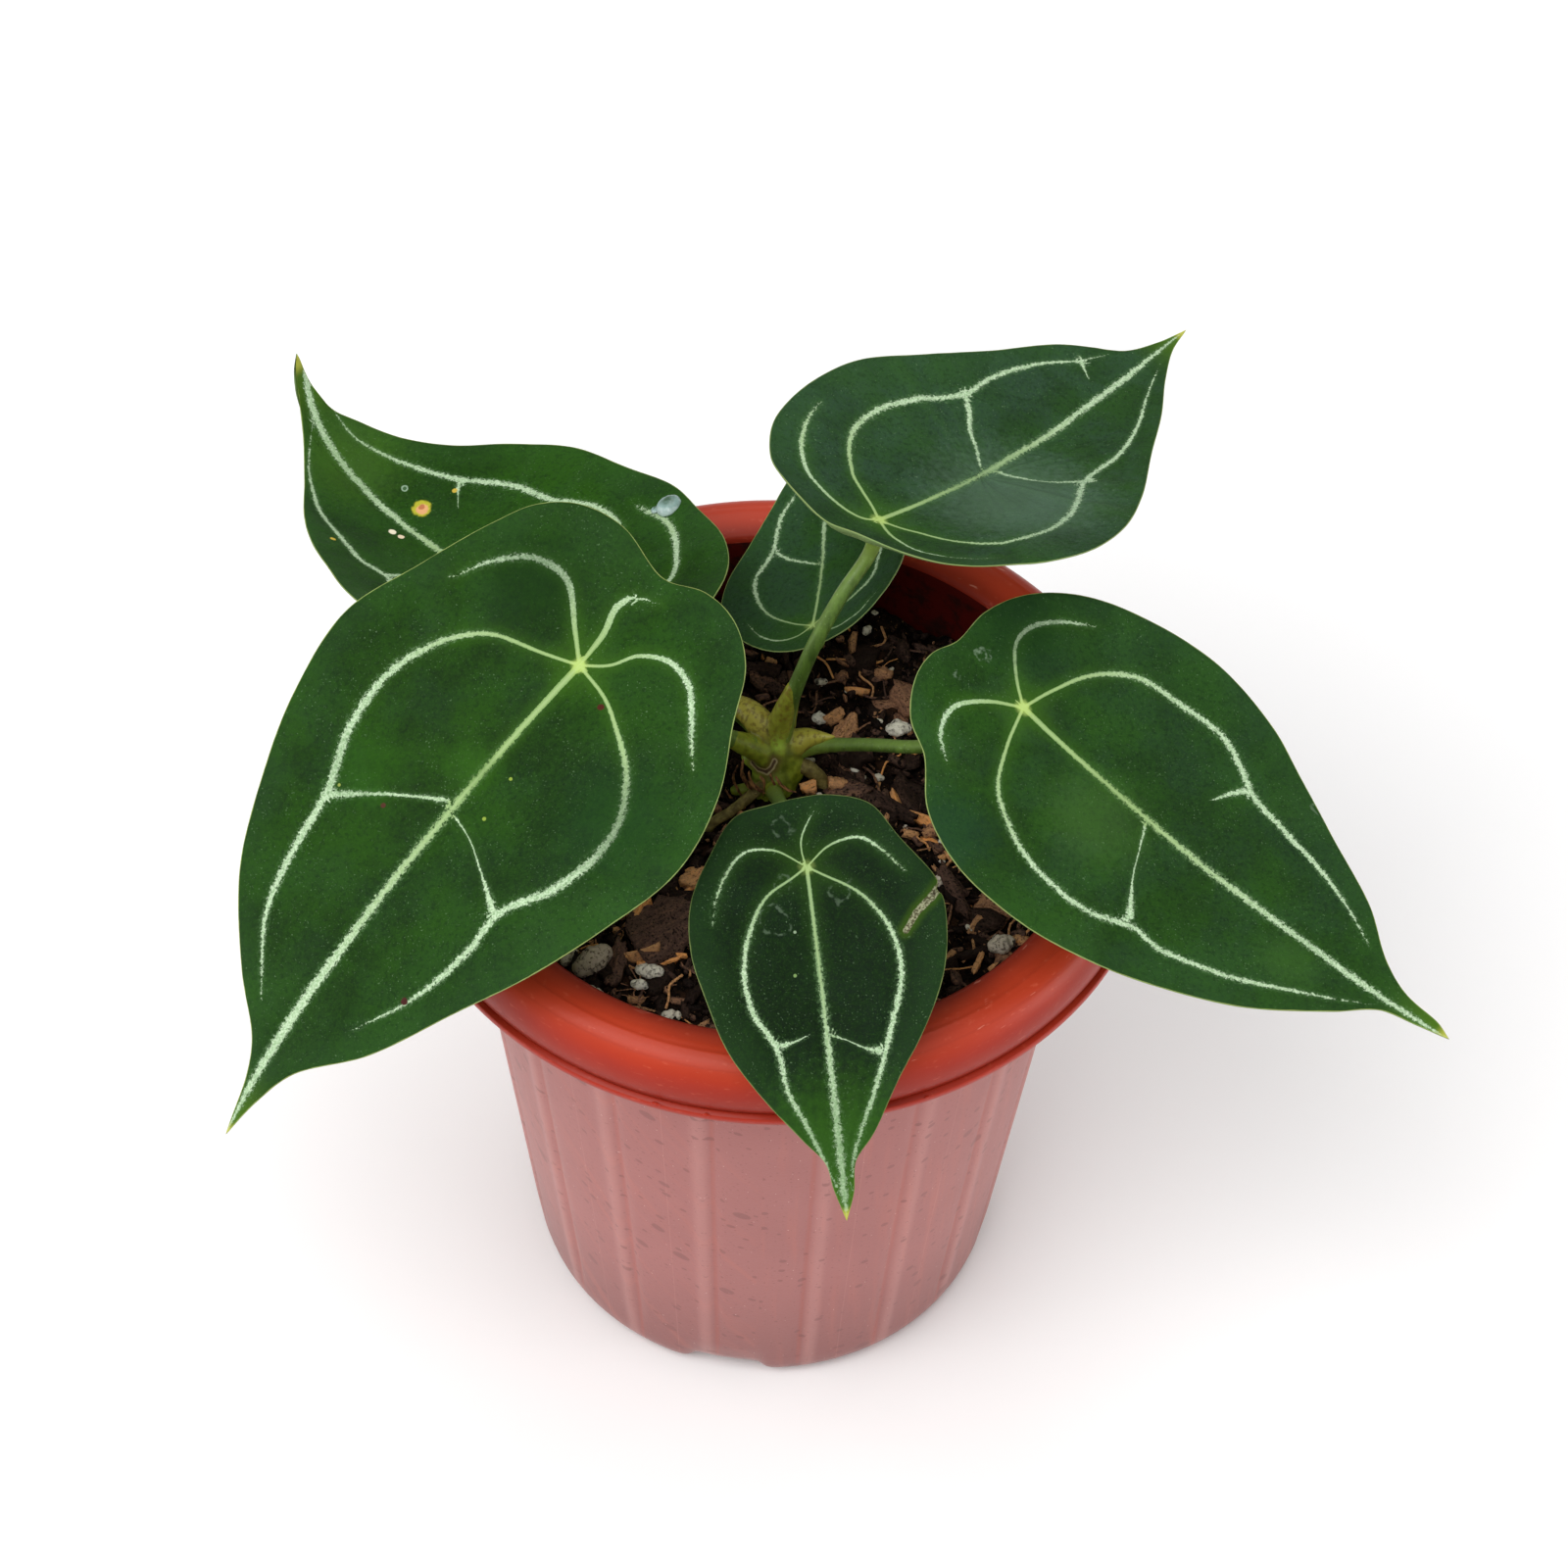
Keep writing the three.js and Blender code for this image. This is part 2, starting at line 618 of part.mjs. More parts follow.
// Each stalk and root gives way to the stem and to those made before it
let taken = stalk(STEM, 12, 14, GAP);
Object.entries(LEAVES).forEach(([side, leaf]) => {
  const points = stalkPoints(leaf);
  addPiece(`petiole_${side}`, stalk(points, 8, 16).subtract(taken), STALK_GREEN, 0.5);
  taken = taken.add(stalk(points, 8, 16, GAP));
});
Object.entries(ROOTS).forEach(([name, points]) => {
  addPiece(name, stalk(points, 8, 10).subtract(taken), ROOT_GREEN, 0.7);
});
Object.entries(LEAVES).forEach(([side, leaf]) => {
  addPiece(`blade_${side}`, makeBlade(leaf), LEAF_GREEN, 0.55);
});

export default plant;
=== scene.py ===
import math

import bpy
import numpy as np
from mathutils import Matrix, Vector


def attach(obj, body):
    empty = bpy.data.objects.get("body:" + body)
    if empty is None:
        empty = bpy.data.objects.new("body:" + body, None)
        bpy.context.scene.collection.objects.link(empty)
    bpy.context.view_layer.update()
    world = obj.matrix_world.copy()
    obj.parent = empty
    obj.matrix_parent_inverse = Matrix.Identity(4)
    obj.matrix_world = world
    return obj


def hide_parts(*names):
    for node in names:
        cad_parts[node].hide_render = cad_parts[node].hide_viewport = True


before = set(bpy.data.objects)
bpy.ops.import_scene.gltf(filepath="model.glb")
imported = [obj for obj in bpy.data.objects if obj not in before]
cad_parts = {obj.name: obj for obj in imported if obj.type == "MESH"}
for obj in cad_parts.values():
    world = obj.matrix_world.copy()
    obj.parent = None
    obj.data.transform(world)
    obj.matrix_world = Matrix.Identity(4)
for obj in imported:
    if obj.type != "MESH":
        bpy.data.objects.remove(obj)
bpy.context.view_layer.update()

# All sizes below are in millimetres, in the frame of the CAD model: the origin is the centre of the
# pot's underside, +Z is up and the front faces -Y. Meshes are made in metres.
MM = 0.001


# Colours as they look on a screen, from 0 to 255, turned into Blender's linear ones

def rgb(red, green, blue):
    def linear(channel):
        value = channel / 255
        return value / 12.92 if value <= 0.04045 else ((value + 0.055) / 1.055) ** 2.4
    return (linear(red), linear(green), linear(blue), 1.0)


# Materials

def operation(name, swapped=False):
    """A method that puts an amount and another number through this Math node."""
    def method(self, other=0.0):
        return self.math(name, other, self) if swapped else self.math(name, self, other)
    return method


class Amount:
    """A number that changes over a surface; arithmetic on it adds Math nodes."""

    __add__ = operation("ADD")
    __radd__ = operation("ADD", swapped=True)
    __sub__ = operation("SUBTRACT")
    __rsub__ = operation("SUBTRACT", swapped=True)
    __mul__ = operation("MULTIPLY")
    __rmul__ = operation("MULTIPLY", swapped=True)
    __truediv__ = operation("DIVIDE")
    __pow__ = operation("POWER")
    __abs__ = operation("ABSOLUTE")
    at_least = operation("MAXIMUM")
    at_most = operation("MINIMUM")

    def __init__(self, finish, socket):
        self.finish = finish
        self.socket = socket

    def math(self, name, first, second):
        node = self.finish.node("ShaderNodeMath", {"operation": name}, {0: first, 1: second})
        return Amount(self.finish, node.outputs[0])

    def between(self, start, end):
        """0 up to start, 1 from end, and smooth between the two."""
        settings = {"interpolation_type": "SMOOTHSTEP"}
        node = self.finish.node("ShaderNodeMapRange", settings, {0: self, 1: start, 2: end})
        return Amount(self.finish, node.outputs[0])


class Paint:
    """A colour that changes over a surface and takes coats of other colours."""

    def __init__(self, finish, socket):
        self.finish = finish
        self.socket = socket

    def coat(self, share, colour):
        self.socket = self.finish.blend(share, self.socket, colour)


class Finish:
    """One material: its node tree and the shader that it ends in.

    A colour of three numbers is as on a screen, from 0 to 255; one of four is linear.
    """

    def __init__(self, name, fixed):
        self.material = bpy.data.materials.new(name)
        self.material.use_nodes = True
        self.tree = self.material.node_tree
        self.shader = self.tree.nodes["Principled BSDF"]
        for socket, value in fixed.items():
            self.shader.inputs[socket].default_value = value

    def feed(self, socket, value):
        if isinstance(value, (Amount, Paint)):
            value = value.socket
        if isinstance(value, tuple) and len(value) == 3 and socket.type == "RGBA":
            value = rgb(*value)
        if isinstance(value, bpy.types.NodeSocket):
            self.tree.links.new(value, socket)
        else:
            socket.default_value = value

    def node(self, kind, settings=None, sockets=None):
        """A node of this type, with its settings made first and its sockets set or linked after."""
        node = self.tree.nodes.new(kind)
        for setting, value in (settings or {}).items():
            if setting == "stops":
                while len(node.color_ramp.elements) < len(value):
                    node.color_ramp.elements.new(1.0)
                for element, (position, colour) in zip(node.color_ramp.elements, value):
                    element.position = position
                    element.color = colour
            else:
                setattr(node, setting, value)
        for key, value in (sockets or {}).items():
            self.feed(node.inputs[key], value)
        return node

    def amount(self, attribute):
        node = self.node("ShaderNodeAttribute", {"attribute_name": attribute})
        return Amount(self, node.outputs["Fac"])

    def amounts(self, attribute):
        """The three numbers of a vector attribute."""
        node = self.node("ShaderNodeAttribute", {"attribute_name": attribute})
        parts = self.node("ShaderNodeSeparateXYZ", None, {0: node.outputs["Vector"]})
        return [Amount(self, socket) for socket in parts.outputs]

    def place(self, attribute=None, stretch=(1, 1, 1), shift=0.0):
        """Where a point is, in millimetres: on the object, or in one of its vector attributes."""
        if attribute:
            source = self.node("ShaderNodeAttribute", {"attribute_name": attribute}).outputs["Vector"]
            scale = stretch
        else:
            source = self.node("ShaderNodeTexCoord").outputs["Object"]
            scale = tuple(part / MM for part in stretch)
        scaled = self.node("ShaderNodeVectorMath", {"operation": "MULTIPLY"}, {0: source, 1: scale})
        moved = self.node("ShaderNodeVectorMath", {"operation": "ADD"},
                          {0: scaled.outputs[0], 1: (shift, shift, shift)})
        return moved.outputs[0]

    def noise(self, size, detail=2.0, place=None, shift=0.0, rough=0.5):
        """Clouds from 0 to 1, of about this size in millimetres."""
        place = place or self.place(shift=shift)
        node = self.node("ShaderNodeTexNoise", {"noise_dimensions": "3D"},
                         {"Vector": place, "Scale": 1 / size, "Detail": detail, "Roughness": rough})
        return Amount(self, node.outputs[0])

    def spots(self, size, radius, place, chance):
        """Round spots, one at most in each cell of this size, and 1 inside them."""
        settings = {"feature": "F1", "voronoi_dimensions": "2D"}
        node = self.node("ShaderNodeTexVoronoi", settings,
                         {"Vector": place, "Scale": 1 / size, "Randomness": 1.0})
        draw = self.node("ShaderNodeSeparateColor", None, {0: node.outputs["Color"]})
        first = Amount(self, draw.outputs[0])
        second = Amount(self, draw.outputs[1])
        distance = Amount(self, node.outputs["Distance"])
        reach = radius / size * (0.35 + 0.65 * second)
        inside = (distance / reach).between(1.0, 0.8)
        present = first.between(1.0 - chance - 0.001, 1.0 - chance)
        return inside * present

    def blend(self, share, under, over):
        """One colour laid over another by a share from 0 to 1."""
        settings = {"data_type": "RGBA", "blend_type": "MIX", "clamp_factor": True}
        node = self.node("ShaderNodeMix", settings, {0: share, 6: under, 7: over})
        return node.outputs[2]

    def paint(self, share, under, over):
        return Paint(self, self.blend(share, under, over))

    def ramp(self, amount, stops):
        node = self.node("ShaderNodeValToRGB", {"stops": stops}, {0: amount})
        return Paint(self, node.outputs[0])

    def bump(self, height, distance):
        """Relief: height from 0 to 1 stands for this distance in millimetres."""
        sockets = {"Height": height, "Distance": distance * MM, "Strength": 1.0}
        return self.node("ShaderNodeBump", None, sockets).outputs[0]

    def set(self, **sockets):
        for name, value in sockets.items():
            self.feed(self.shader.inputs[name.replace("_", " ")], value)
        return self.material


# Curves and meshes

def mixed(t, start, end, first, last):
    """What lies at t on the straight way from first, at start, to last, at end."""
    return (end - t) / (end - start) * first + (t - start) / (end - start) * last


def smooth_path(points, count):
    """Points spread evenly along a smooth curve through the given ones, which may carry more columns."""
    points = np.asarray(points, float)
    first = 2 * points[0] - points[1]
    last = 2 * points[-1] - points[-2]
    knots = np.vstack([first, points, last])
    dense = []
    for index in range(len(points) - 1):
        p0, p1, p2, p3 = knots[index:index + 4]
        pairs = ((p0, p1), (p1, p2), (p2, p3))
        steps = [max(np.linalg.norm(b[:2] - a[:2]), 1e-6) ** 0.5 for a, b in pairs]
        t0, t1, t2, t3 = np.cumsum([0.0, *steps])
        t = np.linspace(t1, t2, 24, endpoint=False)[:, None]
        a1 = mixed(t, t0, t1, p0, p1)
        a2 = mixed(t, t1, t2, p1, p2)
        a3 = mixed(t, t2, t3, p2, p3)
        b1 = mixed(t, t0, t2, a1, a2)
        b2 = mixed(t, t1, t3, a2, a3)
        dense.append(mixed(t, t1, t2, b1, b2))
    dense = np.vstack(dense + [points[-1:]])
    return spread(dense, count)


def spread(line, count):
    """The same line with this many points, evenly spaced along it."""
    steps = np.linalg.norm(np.diff(line[:, :3], axis=0), axis=1)
    along = np.concatenate([[0], np.cumsum(steps)])
    wanted = np.linspace(0, along[-1], count)
    return np.stack([np.interp(wanted, along, column) for column in line.T], 1)


def grid_faces(rows, columns, closed=True, start=0, flip=False):
    """Four-sided faces between rows of points; closed rows run round."""
    across = columns if closed else columns - 1
    row, column = np.meshgrid(np.arange(rows - 1), np.arange(across), indexing="ij")
    nxt = (column + 1) % columns
    a = row * columns + column
    b = row * columns + nxt
    c = (row + 1) * columns + nxt
    d = (row + 1) * columns + column
    faces = np.stack([a, b, c, d], -1).reshape(-1, 4) + start
    return (faces[:, ::-1] if flip else faces).tolist()


def fan_faces(centre, first, count, flip=False):
    faces = [(centre, first + i, first + (i + 1) % count) for i in range(count)]
    return [face[::-1] for face in faces] if flip else faces


def closed_faces(rows, sides):
    """The faces of rings that follow one another, with a cap at each end."""
    caps = [tuple(range(sides))[::-1], tuple(range((rows - 1) * sides, rows * sides))]
    return grid_faces(rows, sides) + caps


def add_object(name, data):
    item = bpy.data.objects.new(name, data)
    bpy.context.scene.collection.objects.link(item)
    return item


def rim_wall(upper, lower, count):
    """The faces that join the rings that start at these two points."""
    return [(upper + i, lower + i, lower + (i + 1) % count, upper + (i + 1) % count) for i in range(count)]


def add_piece(name, points, faces, finishes, face_finish=None, attributes=None, replaces=()):
    """A mesh in the scene, which rides with the pot and takes the place of the CAD nodes it names."""
    mesh = bpy.data.meshes.new(name)
    mesh.from_pydata((np.asarray(points, float) * MM).tolist(), [], faces)
    for material in finishes:
        mesh.materials.append(material)
    if face_finish is not None:
        mesh.polygons.foreach_set("material_index", np.asarray(face_finish, np.int32))
    mesh.polygons.foreach_set("use_smooth", np.full(len(mesh.polygons), True))
    for key, values in (attributes or {}).items():
        values = np.asarray(values, np.float32)
        kind = "FLOAT_VECTOR" if values.ndim == 2 else "FLOAT"
        layer = mesh.attributes.new(key, kind, "POINT")
        layer.data.foreach_set("vector" if values.ndim == 2 else "value", values.ravel())
    mesh.update()
    piece = add_object(name, mesh)
    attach(piece, "root")
    if replaces:
        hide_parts(*replaces)
    return piece


class Heap:
    """Many small shapes gathered into one mesh."""

    def __init__(self):
        self.points = []
        self.faces = []
        self.fields = {}
        self.count = 0

    def add(self, points, faces, **fields):
        self.points.append(points)
        self.faces += [tuple(index + self.count for index in face) for face in faces]
        self.count += len(points)
        for key, value in fields.items():
            value = np.asarray(value, float)
            if value.ndim == 0:
                value = np.full(len(points), float(value))
            self.fields.setdefault(key, []).append(value)

    def piece(self, name, slot, finish, replaces=()):
        fields = {key: np.concatenate(values) for key, values in self.fields.items()}
        points = np.vstack(self.points)
        return add_piece(name, points, self.faces, [finish], attributes=fields, replaces=replaces)


def clouds(places, size, seed, octaves=4):
    """Seeded smooth noise about zero at 2-D places, in lumps of this size, for shapes of real relief."""
    total = np.zeros(len(places))
    weight = 1.0
    for octave in range(octaves):
        draw = np.random.default_rng(seed + octave)
        table = draw.uniform(-1, 1, (64, 64))
        spot = places / size * 2 ** octave + 17.3
        low = np.floor(spot).astype(int)
        part = spot - low
        part = part * part * (3 - 2 * part)
        x0, y0 = low[:, 0] % 64, low[:, 1] % 64
        x1, y1 = (x0 + 1) % 64, (y0 + 1) % 64
        bottom = table[x0, y0] * (1 - part[:, 0]) + table[x1, y0] * part[:, 0]
        top = table[x0, y1] * (1 - part[:, 0]) + table[x1, y1] * part[:, 0]
        total += weight * (bottom * (1 - part[:, 1]) + top * part[:, 1])
        weight *= 0.5
    return total


# The pot

LIP_RADIUS = 80
LIP_BOTTOM = 142
LIP_TOP = 143.8
ROLL = {"radius": 73, "z": 147.5, "wide": 6.3, "high": 9, "skin": 1.5}
WALL_TOP_RADIUS = 67
WALL_BASE_RADIUS = 52.6
WALL_BASE_Z = 6
WALL = 1.7
FLUTES = 18
FLUTE_DEPTH = 0.45
FOOT_NOTCH = {"count": 4, "first": -8, "width": 17, "radius": 47}
POT_SIDES = 480
DRAIN_HOLE = {"count": 8, "radius": 3.5, "circle": 37, "sides": 40, "from": -2, "to": 7}
# The first of the section's rows that a notch moves, and the radius and height of each of them in it
FOOT_ROW = 6
NOTCHED = [(43.2, 2.9), (43.9, 2.8), (44.3, 2.8), (46.2, 2.8), (46.9, 2.85), (47.8, 3), (48.9, 3.4),
           (50.1, 4.4), (51.6, 6.2), (52.75, 9)]


def wall_radius(z):
    share = (z - WALL_BASE_Z) / (LIP_BOTTOM - WALL_BASE_Z)
    return WALL_BASE_RADIUS + share * (WALL_TOP_RADIUS - WALL_BASE_RADIUS)


def pot_rim_finish():
    """Terracotta-red plastic, clean and satin, with painted light: lighter on top, shaded on and under the
    roll and deeper red down into the pot.
    """
    finish = Finish("pot_red_rim", {"Specular IOR Level": 0.22, "IOR": 1.46})
    _, height, zone = finish.amounts("unrolled")
    clean = finish.paint(finish.noise(9, 3), (150, 34, 16), (166, 44, 21))
    # Painted highlight: the rim's upper side is lighter
    clean.coat(height.between(150, 155.5) * 0.6, (182, 64, 38))
    # Painted shade under the roll
    painted_shade_under_roll = height.between(148, 144.6) * height.between(143.2, 144.4)
    clean.coat(painted_shade_under_roll * 0.7, (128, 34, 20))
    # Painted shade on the roll's lower, outer side
    painted_shade_on_outer_roll = height.between(154.5, 147) * height.between(143.9, 144.4)
    clean.coat(painted_shade_on_outer_roll * 0.5, (126, 28, 13))
    # Painted shade: deeper red down into the pot
    clean.coat(zone.between(0, -0.95) * 0.6, (96, 17, 9))
    parting = (abs(height - 154.9) + (finish.noise(6, 2) - 0.5) * 0.5).between(0.3, 0.1)
    clean.coat(parting * 0.25, (150, 44, 24))
    worn = finish.noise(2.2, 4, place=finish.place(stretch=(1, 1, 3))).between(0.6, 0.78)
    clean.coat(worn * 0.3, (208, 104, 80))
    scuffs = finish.noise(1.1, 3, place=finish.place("unrolled", (0.16, 1.6, 0)), rough=0.6)
    scuffs = scuffs.between(0.66, 0.72)
    clean.coat(scuffs * height.between(150, 154) * 0.4, (224, 150, 130))
    rough = 0.34 + 0.1 * finish.noise(1.2, 2)
    return finish.set(Base_Color=clean, Roughness=rough, Normal=finish.bump(finish.noise(0.7, 3), 0.03))


def pot_wall_finish():
    """The same plastic under a pale film of dust, with water spots and streaks, and a painted highlight on
    each flute's ridge.
    """
    finish = Finish("pot_red_dusty_wall_painted_light", {"Specular IOR Level": 0.22, "IOR": 1.46, "Sheen Weight": 0.22})
    height = finish.amounts("unrolled")[1]
    beside = finish.amount("beside")
    dusty_and_painted_light = finish.paint(finish.noise(16, 4), (146, 80, 75), (158, 92, 87))
    low = height.between(50, 2)
    dusty_and_painted_light.coat(low * 0.9, (128, 68, 63))
    streaks = finish.noise(3.2, 3, place=finish.place("unrolled", (1, 0.07, 0))).between(0.48, 0.72)
    dusty_and_painted_light.coat(streaks * 0.22, (182, 96, 78))
    # Painted highlight: a lighter band along each flute's ridge
    dusty_and_painted_light.coat(abs(beside - 2.4).between(2.6, 0.4) * 0.22, (204, 146, 138))
    dusty_and_painted_light.coat(abs(beside + 0.1).between(0.8, 0.1) * 0.34, (164, 76, 60))
    grit = finish.noise(0.5, 2, place=finish.place(stretch=(1, 1, 1.6)), rough=0.6)
    dusty_and_painted_light.coat(grit.between(0.56, 0.72) * 0.25, (132, 70, 64))
    flat = finish.place("unrolled", (0.92, 1.05, 0))
    small = finish.spots(1.5, 0.26, flat, 0.4)
    medium = finish.spots(4.2, 0.95, finish.place("unrolled", (0.9, 1.1, 0), shift=7.7), 0.36)
    large = finish.spots(12, 1.9, finish.place("unrolled", (0.85, 1, 0), shift=3.1), 0.4)
    spots = small.at_least(medium).at_least(large)
    dusty_and_painted_light.coat(spots * 0.5, (108, 50, 46))
    specks = finish.spots(4.6, 0.16, finish.place("unrolled", (1, 1, 0), shift=1.3), 0.5)
    dusty_and_painted_light.coat(specks * 0.6, (222, 186, 178))
    rough = 0.52 + 0.1 * finish.noise(1.2, 2)
    return finish.set(Base_Color=dusty_and_painted_light, Roughness=rough, Normal=finish.bump(finish.noise(0.7, 3), 0.03))


def pot_inside_finish():
    """The same red in deep shade, dull and smudged with soil."""
    finish = Finish("pot_red_inside", {"Specular IOR Level": 0.08})
    smudge = finish.noise(4, 4, rough=0.6).between(0.45, 0.7)
    colour = finish.paint(smudge, (70, 7, 3), (40, 12, 8))
    return finish.set(Base_Color=colour, Roughness=0.8 + 0.1 * smudge, Normal=finish.bump(smudge, 0.05))


def drill_drain_holes(piece):
    drills = Heap()
    sides = DRAIN_HOLE["sides"]
    around = np.linspace(0, 2 * np.pi, sides, endpoint=False)
    for index in range(DRAIN_HOLE["count"]):
        turn = 2 * math.pi * index / DRAIN_HOLE["count"]
        x = DRAIN_HOLE["circle"] * math.cos(turn) + DRAIN_HOLE["radius"] * np.cos(around)
        y = DRAIN_HOLE["circle"] * math.sin(turn) + DRAIN_HOLE["radius"] * np.sin(around)
        rings = [np.column_stack([x, y, np.full(sides, DRAIN_HOLE[end])]) for end in ("from", "to")]
        drills.add(np.vstack(rings), closed_faces(2, sides))
    mesh = bpy.data.meshes.new("drills")
    mesh.from_pydata((np.vstack(drills.points) * MM).tolist(), [], drills.faces)
    tool = add_object("drills", mesh)
    cut = piece.modifiers.new("drain", "BOOLEAN")
    cut.operation = "DIFFERENCE"
    cut.solver = "EXACT"
    cut.object = tool
    bpy.context.view_layer.update()
    drilled = bpy.data.meshes.new_from_object(piece.evaluated_get(bpy.context.evaluated_depsgraph_get()))
    piece.modifiers.clear()
    piece.data = drilled
    bpy.data.objects.remove(tool)


# Degrees to the right of the front, width and height of the slivers left by the mould on the lip
FLASH = [(-15.9, 2.4, 0.5), (-8.4, 1.5, 0.4), (24, 1.2, 0.3)]


def mould_flash():
    finish = pot_rim_finish()
    heap = Heap()
    radius = LIP_RADIUS - 0.1
    for degrees, wide, high in FLASH:
        turns = np.radians(degrees) + np.array([-1, -0.3, 0.4, 1]) * wide / 2 / LIP_RADIUS
        path = []
        for turn, lift, size in zip(turns, (-1, 1, 0.2, 1), (0.1, 0.28, 0.34, 0.1)):
            path.append((radius * math.sin(turn), -radius * math.cos(turn), 143.6 + 0.5 * high * lift, size))
        heap.add(*tube(path, 10, 14, rough=0.3, seed=int(wide * 10)))
    # Coloured like the lip's clean upper side
    unrolled = np.vstack(heap.points) * (1, 1, 0) + (0, 145, 0)
    heap.fields = {"unrolled": [unrolled]}
    heap.piece("mould_flash_on_lip", "pot_plastic", finish)


def pot_section():
    """Each row's radius, height and zone: 1 for the dusty wall, 0 for the clean rim and -1 for the inside."""
    def roll(degrees, inset):
        angle = np.radians(degrees)
        return (ROLL["radius"] + (ROLL["wide"] - inset) * math.cos(angle),
                ROLL["z"] + (ROLL["high"] - inset) * math.sin(angle))

    section = [(0.01, 0, 1), (28.6, 0, 1), (29, 0.2, 1), (30.3, 2.8, 1), (30.7, 3, 1), (42.8, 3, 1),
               (43.2, 2.7, 1), (43.9, 0.3, 1), (44.3, 0, 1), (46.2, 0, 1), (47.4, 0.15, 1), (49.5, 0.9, 1),
               (51.1, 2.1, 1), (52.1, 3.8, 1), (WALL_BASE_RADIUS, WALL_BASE_Z, 1)]
    for z in np.linspace(9, LIP_BOTTOM - 0.4, 26):
        section.append((wall_radius(z), z, 1))
    section += [(67.1, LIP_BOTTOM, 0), (67.4, 151.2, 0), (68, 152.8, 0), (69.4, 154, 0), (73, 155, 0)]
    section += [(*roll(degrees, ROLL["skin"]), 0) for degrees in (70, 50, 30, 15, 0, -20, -40)]
    section += [(76.7, LIP_BOTTOM + 0.1, 0), (77, LIP_BOTTOM, 0), (79.7, LIP_BOTTOM, 0), (80, 142.3, 0),
                (80, 143.5, 0), (79.8, LIP_TOP, 0), (78.5, 143.85, 0), (78.15, 143.95, 0), (78.3, 144.2, 0)]
    section += [(*roll(degrees, 0), 0) for degrees in (-19, -12, -5, 2, 10, 20, 30, 40, 50, 58, 66, 74, 82)]
    section += [(73.7, 156.48, 0), (73.3, 156.42, 0), (72.9, 156.3, 0), (72.5, 156.42, 0), (71.2, 156.2, 0),
                (69.4, 155.75, -0.3), (67.6, 155.15, -0.7), (66.8, 154.9, -0.85), (66.2, 154.3, -0.95),
                (65.8, 153.4, -1), (65.5, 151, -1), (65.3, LIP_BOTTOM, -1)]
    section += [(wall_radius(z) - WALL, z, -1) for z in (130, 100, 60, 30, 10)]
    section += [(50.6, 6.6, -1), (49, 5.3, -1), (46, 5, -1), (31.6, 5, -1), (30.4, 4, -1), (29.5, 2.2, -1),
                (0.01, 2, -1)]
    return np.array(section)


def pot():
    section = pot_section()
    turn = np.linspace(0, 2 * np.pi, POT_SIDES, endpoint=False)
    radius = np.repeat(section[:, :1], POT_SIDES, 1)
    height = np.repeat(section[:, 1:2], POT_SIDES, 1)
    zone = np.repeat(section[:, 2:3], POT_SIDES, 1)

    # Soft flutes: a narrow groove with a rounded ridge on its outer side, every 20 degrees
    degrees = (np.degrees(turn) + 180) % 360 - 180
    beside = (degrees - 10 + 180 / FLUTES) % (360 / FLUTES) - 180 / FLUTES
    beside = beside * np.where(degrees < 0, -1, 1)
    groove = -FLUTE_DEPTH * np.exp(-((beside / 1.1) ** 2))
    ridge = 0.6 * FLUTE_DEPTH * np.exp(-(((beside - 2.8) / 1.7) ** 2))
    on_wall = (section[:, 2] == 1) & (section[:, 1] >= WALL_BASE_Z)
    fade = np.clip((section[:, 1] - WALL_BASE_Z) / 12, 0, 1) * on_wall
    radius += fade[:, None] * (groove + ridge)[None, :]

    # Where a notch is, the foot is drawn in and up
    for index in range(FOOT_NOTCH["count"]):
        middle = FOOT_NOTCH["first"] + index * 360 / FOOT_NOTCH["count"]
        away = np.abs((np.degrees(turn) - middle + 180) % 360 - 180)
        half = math.degrees(FOOT_NOTCH["width"] / 2 / FOOT_NOTCH["radius"])
        cut = 1 / (1 + np.exp((away - 0.86 * half) / 0.8))
        for row, (notched_radius, notched_height) in enumerate(NOTCHED, FOOT_ROW):
            radius[row] += (notched_radius - section[row, 0]) * cut
            height[row] += (notched_height - section[row, 1]) * cut
    x = radius * np.sin(turn)
    y = -radius * np.cos(turn)
    points = np.stack([x, y, height], -1).reshape(-1, 3)
    unrolled = np.stack([radius * turn, height, zone], -1).reshape(-1, 3)
    rows = len(section)
    faces = closed_faces(rows, POT_SIDES)
    zones = section[:-1, 2]
    kinds = list(np.repeat(np.where(zones == 1, 0, np.where(zones > -1, 1, 2)), POT_SIDES)) + [0, 2]
    finishes = [pot_wall_finish(), pot_rim_finish(), pot_inside_finish()]
    piece = add_piece("pot_moulded", points, faces, finishes, kinds,
                      attributes={"unrolled": unrolled, "beside": np.tile(beside, rows)}, replaces=("pot",))
    drill_drain_holes(piece)


# The leaves. A blade lies on a curved sheet: u runs from the stalk's joint towards the tip and v to the
# left of it, seen from above. The sheet starts at joint, heads along yaw, pitch and roll in degrees and
# curves by the rest. The edges are u, v, and point shifts the tip. The midrib is its share of the length and
# the half width of its pale band there. A vein is its u, v, its half widths and the share where it frays.

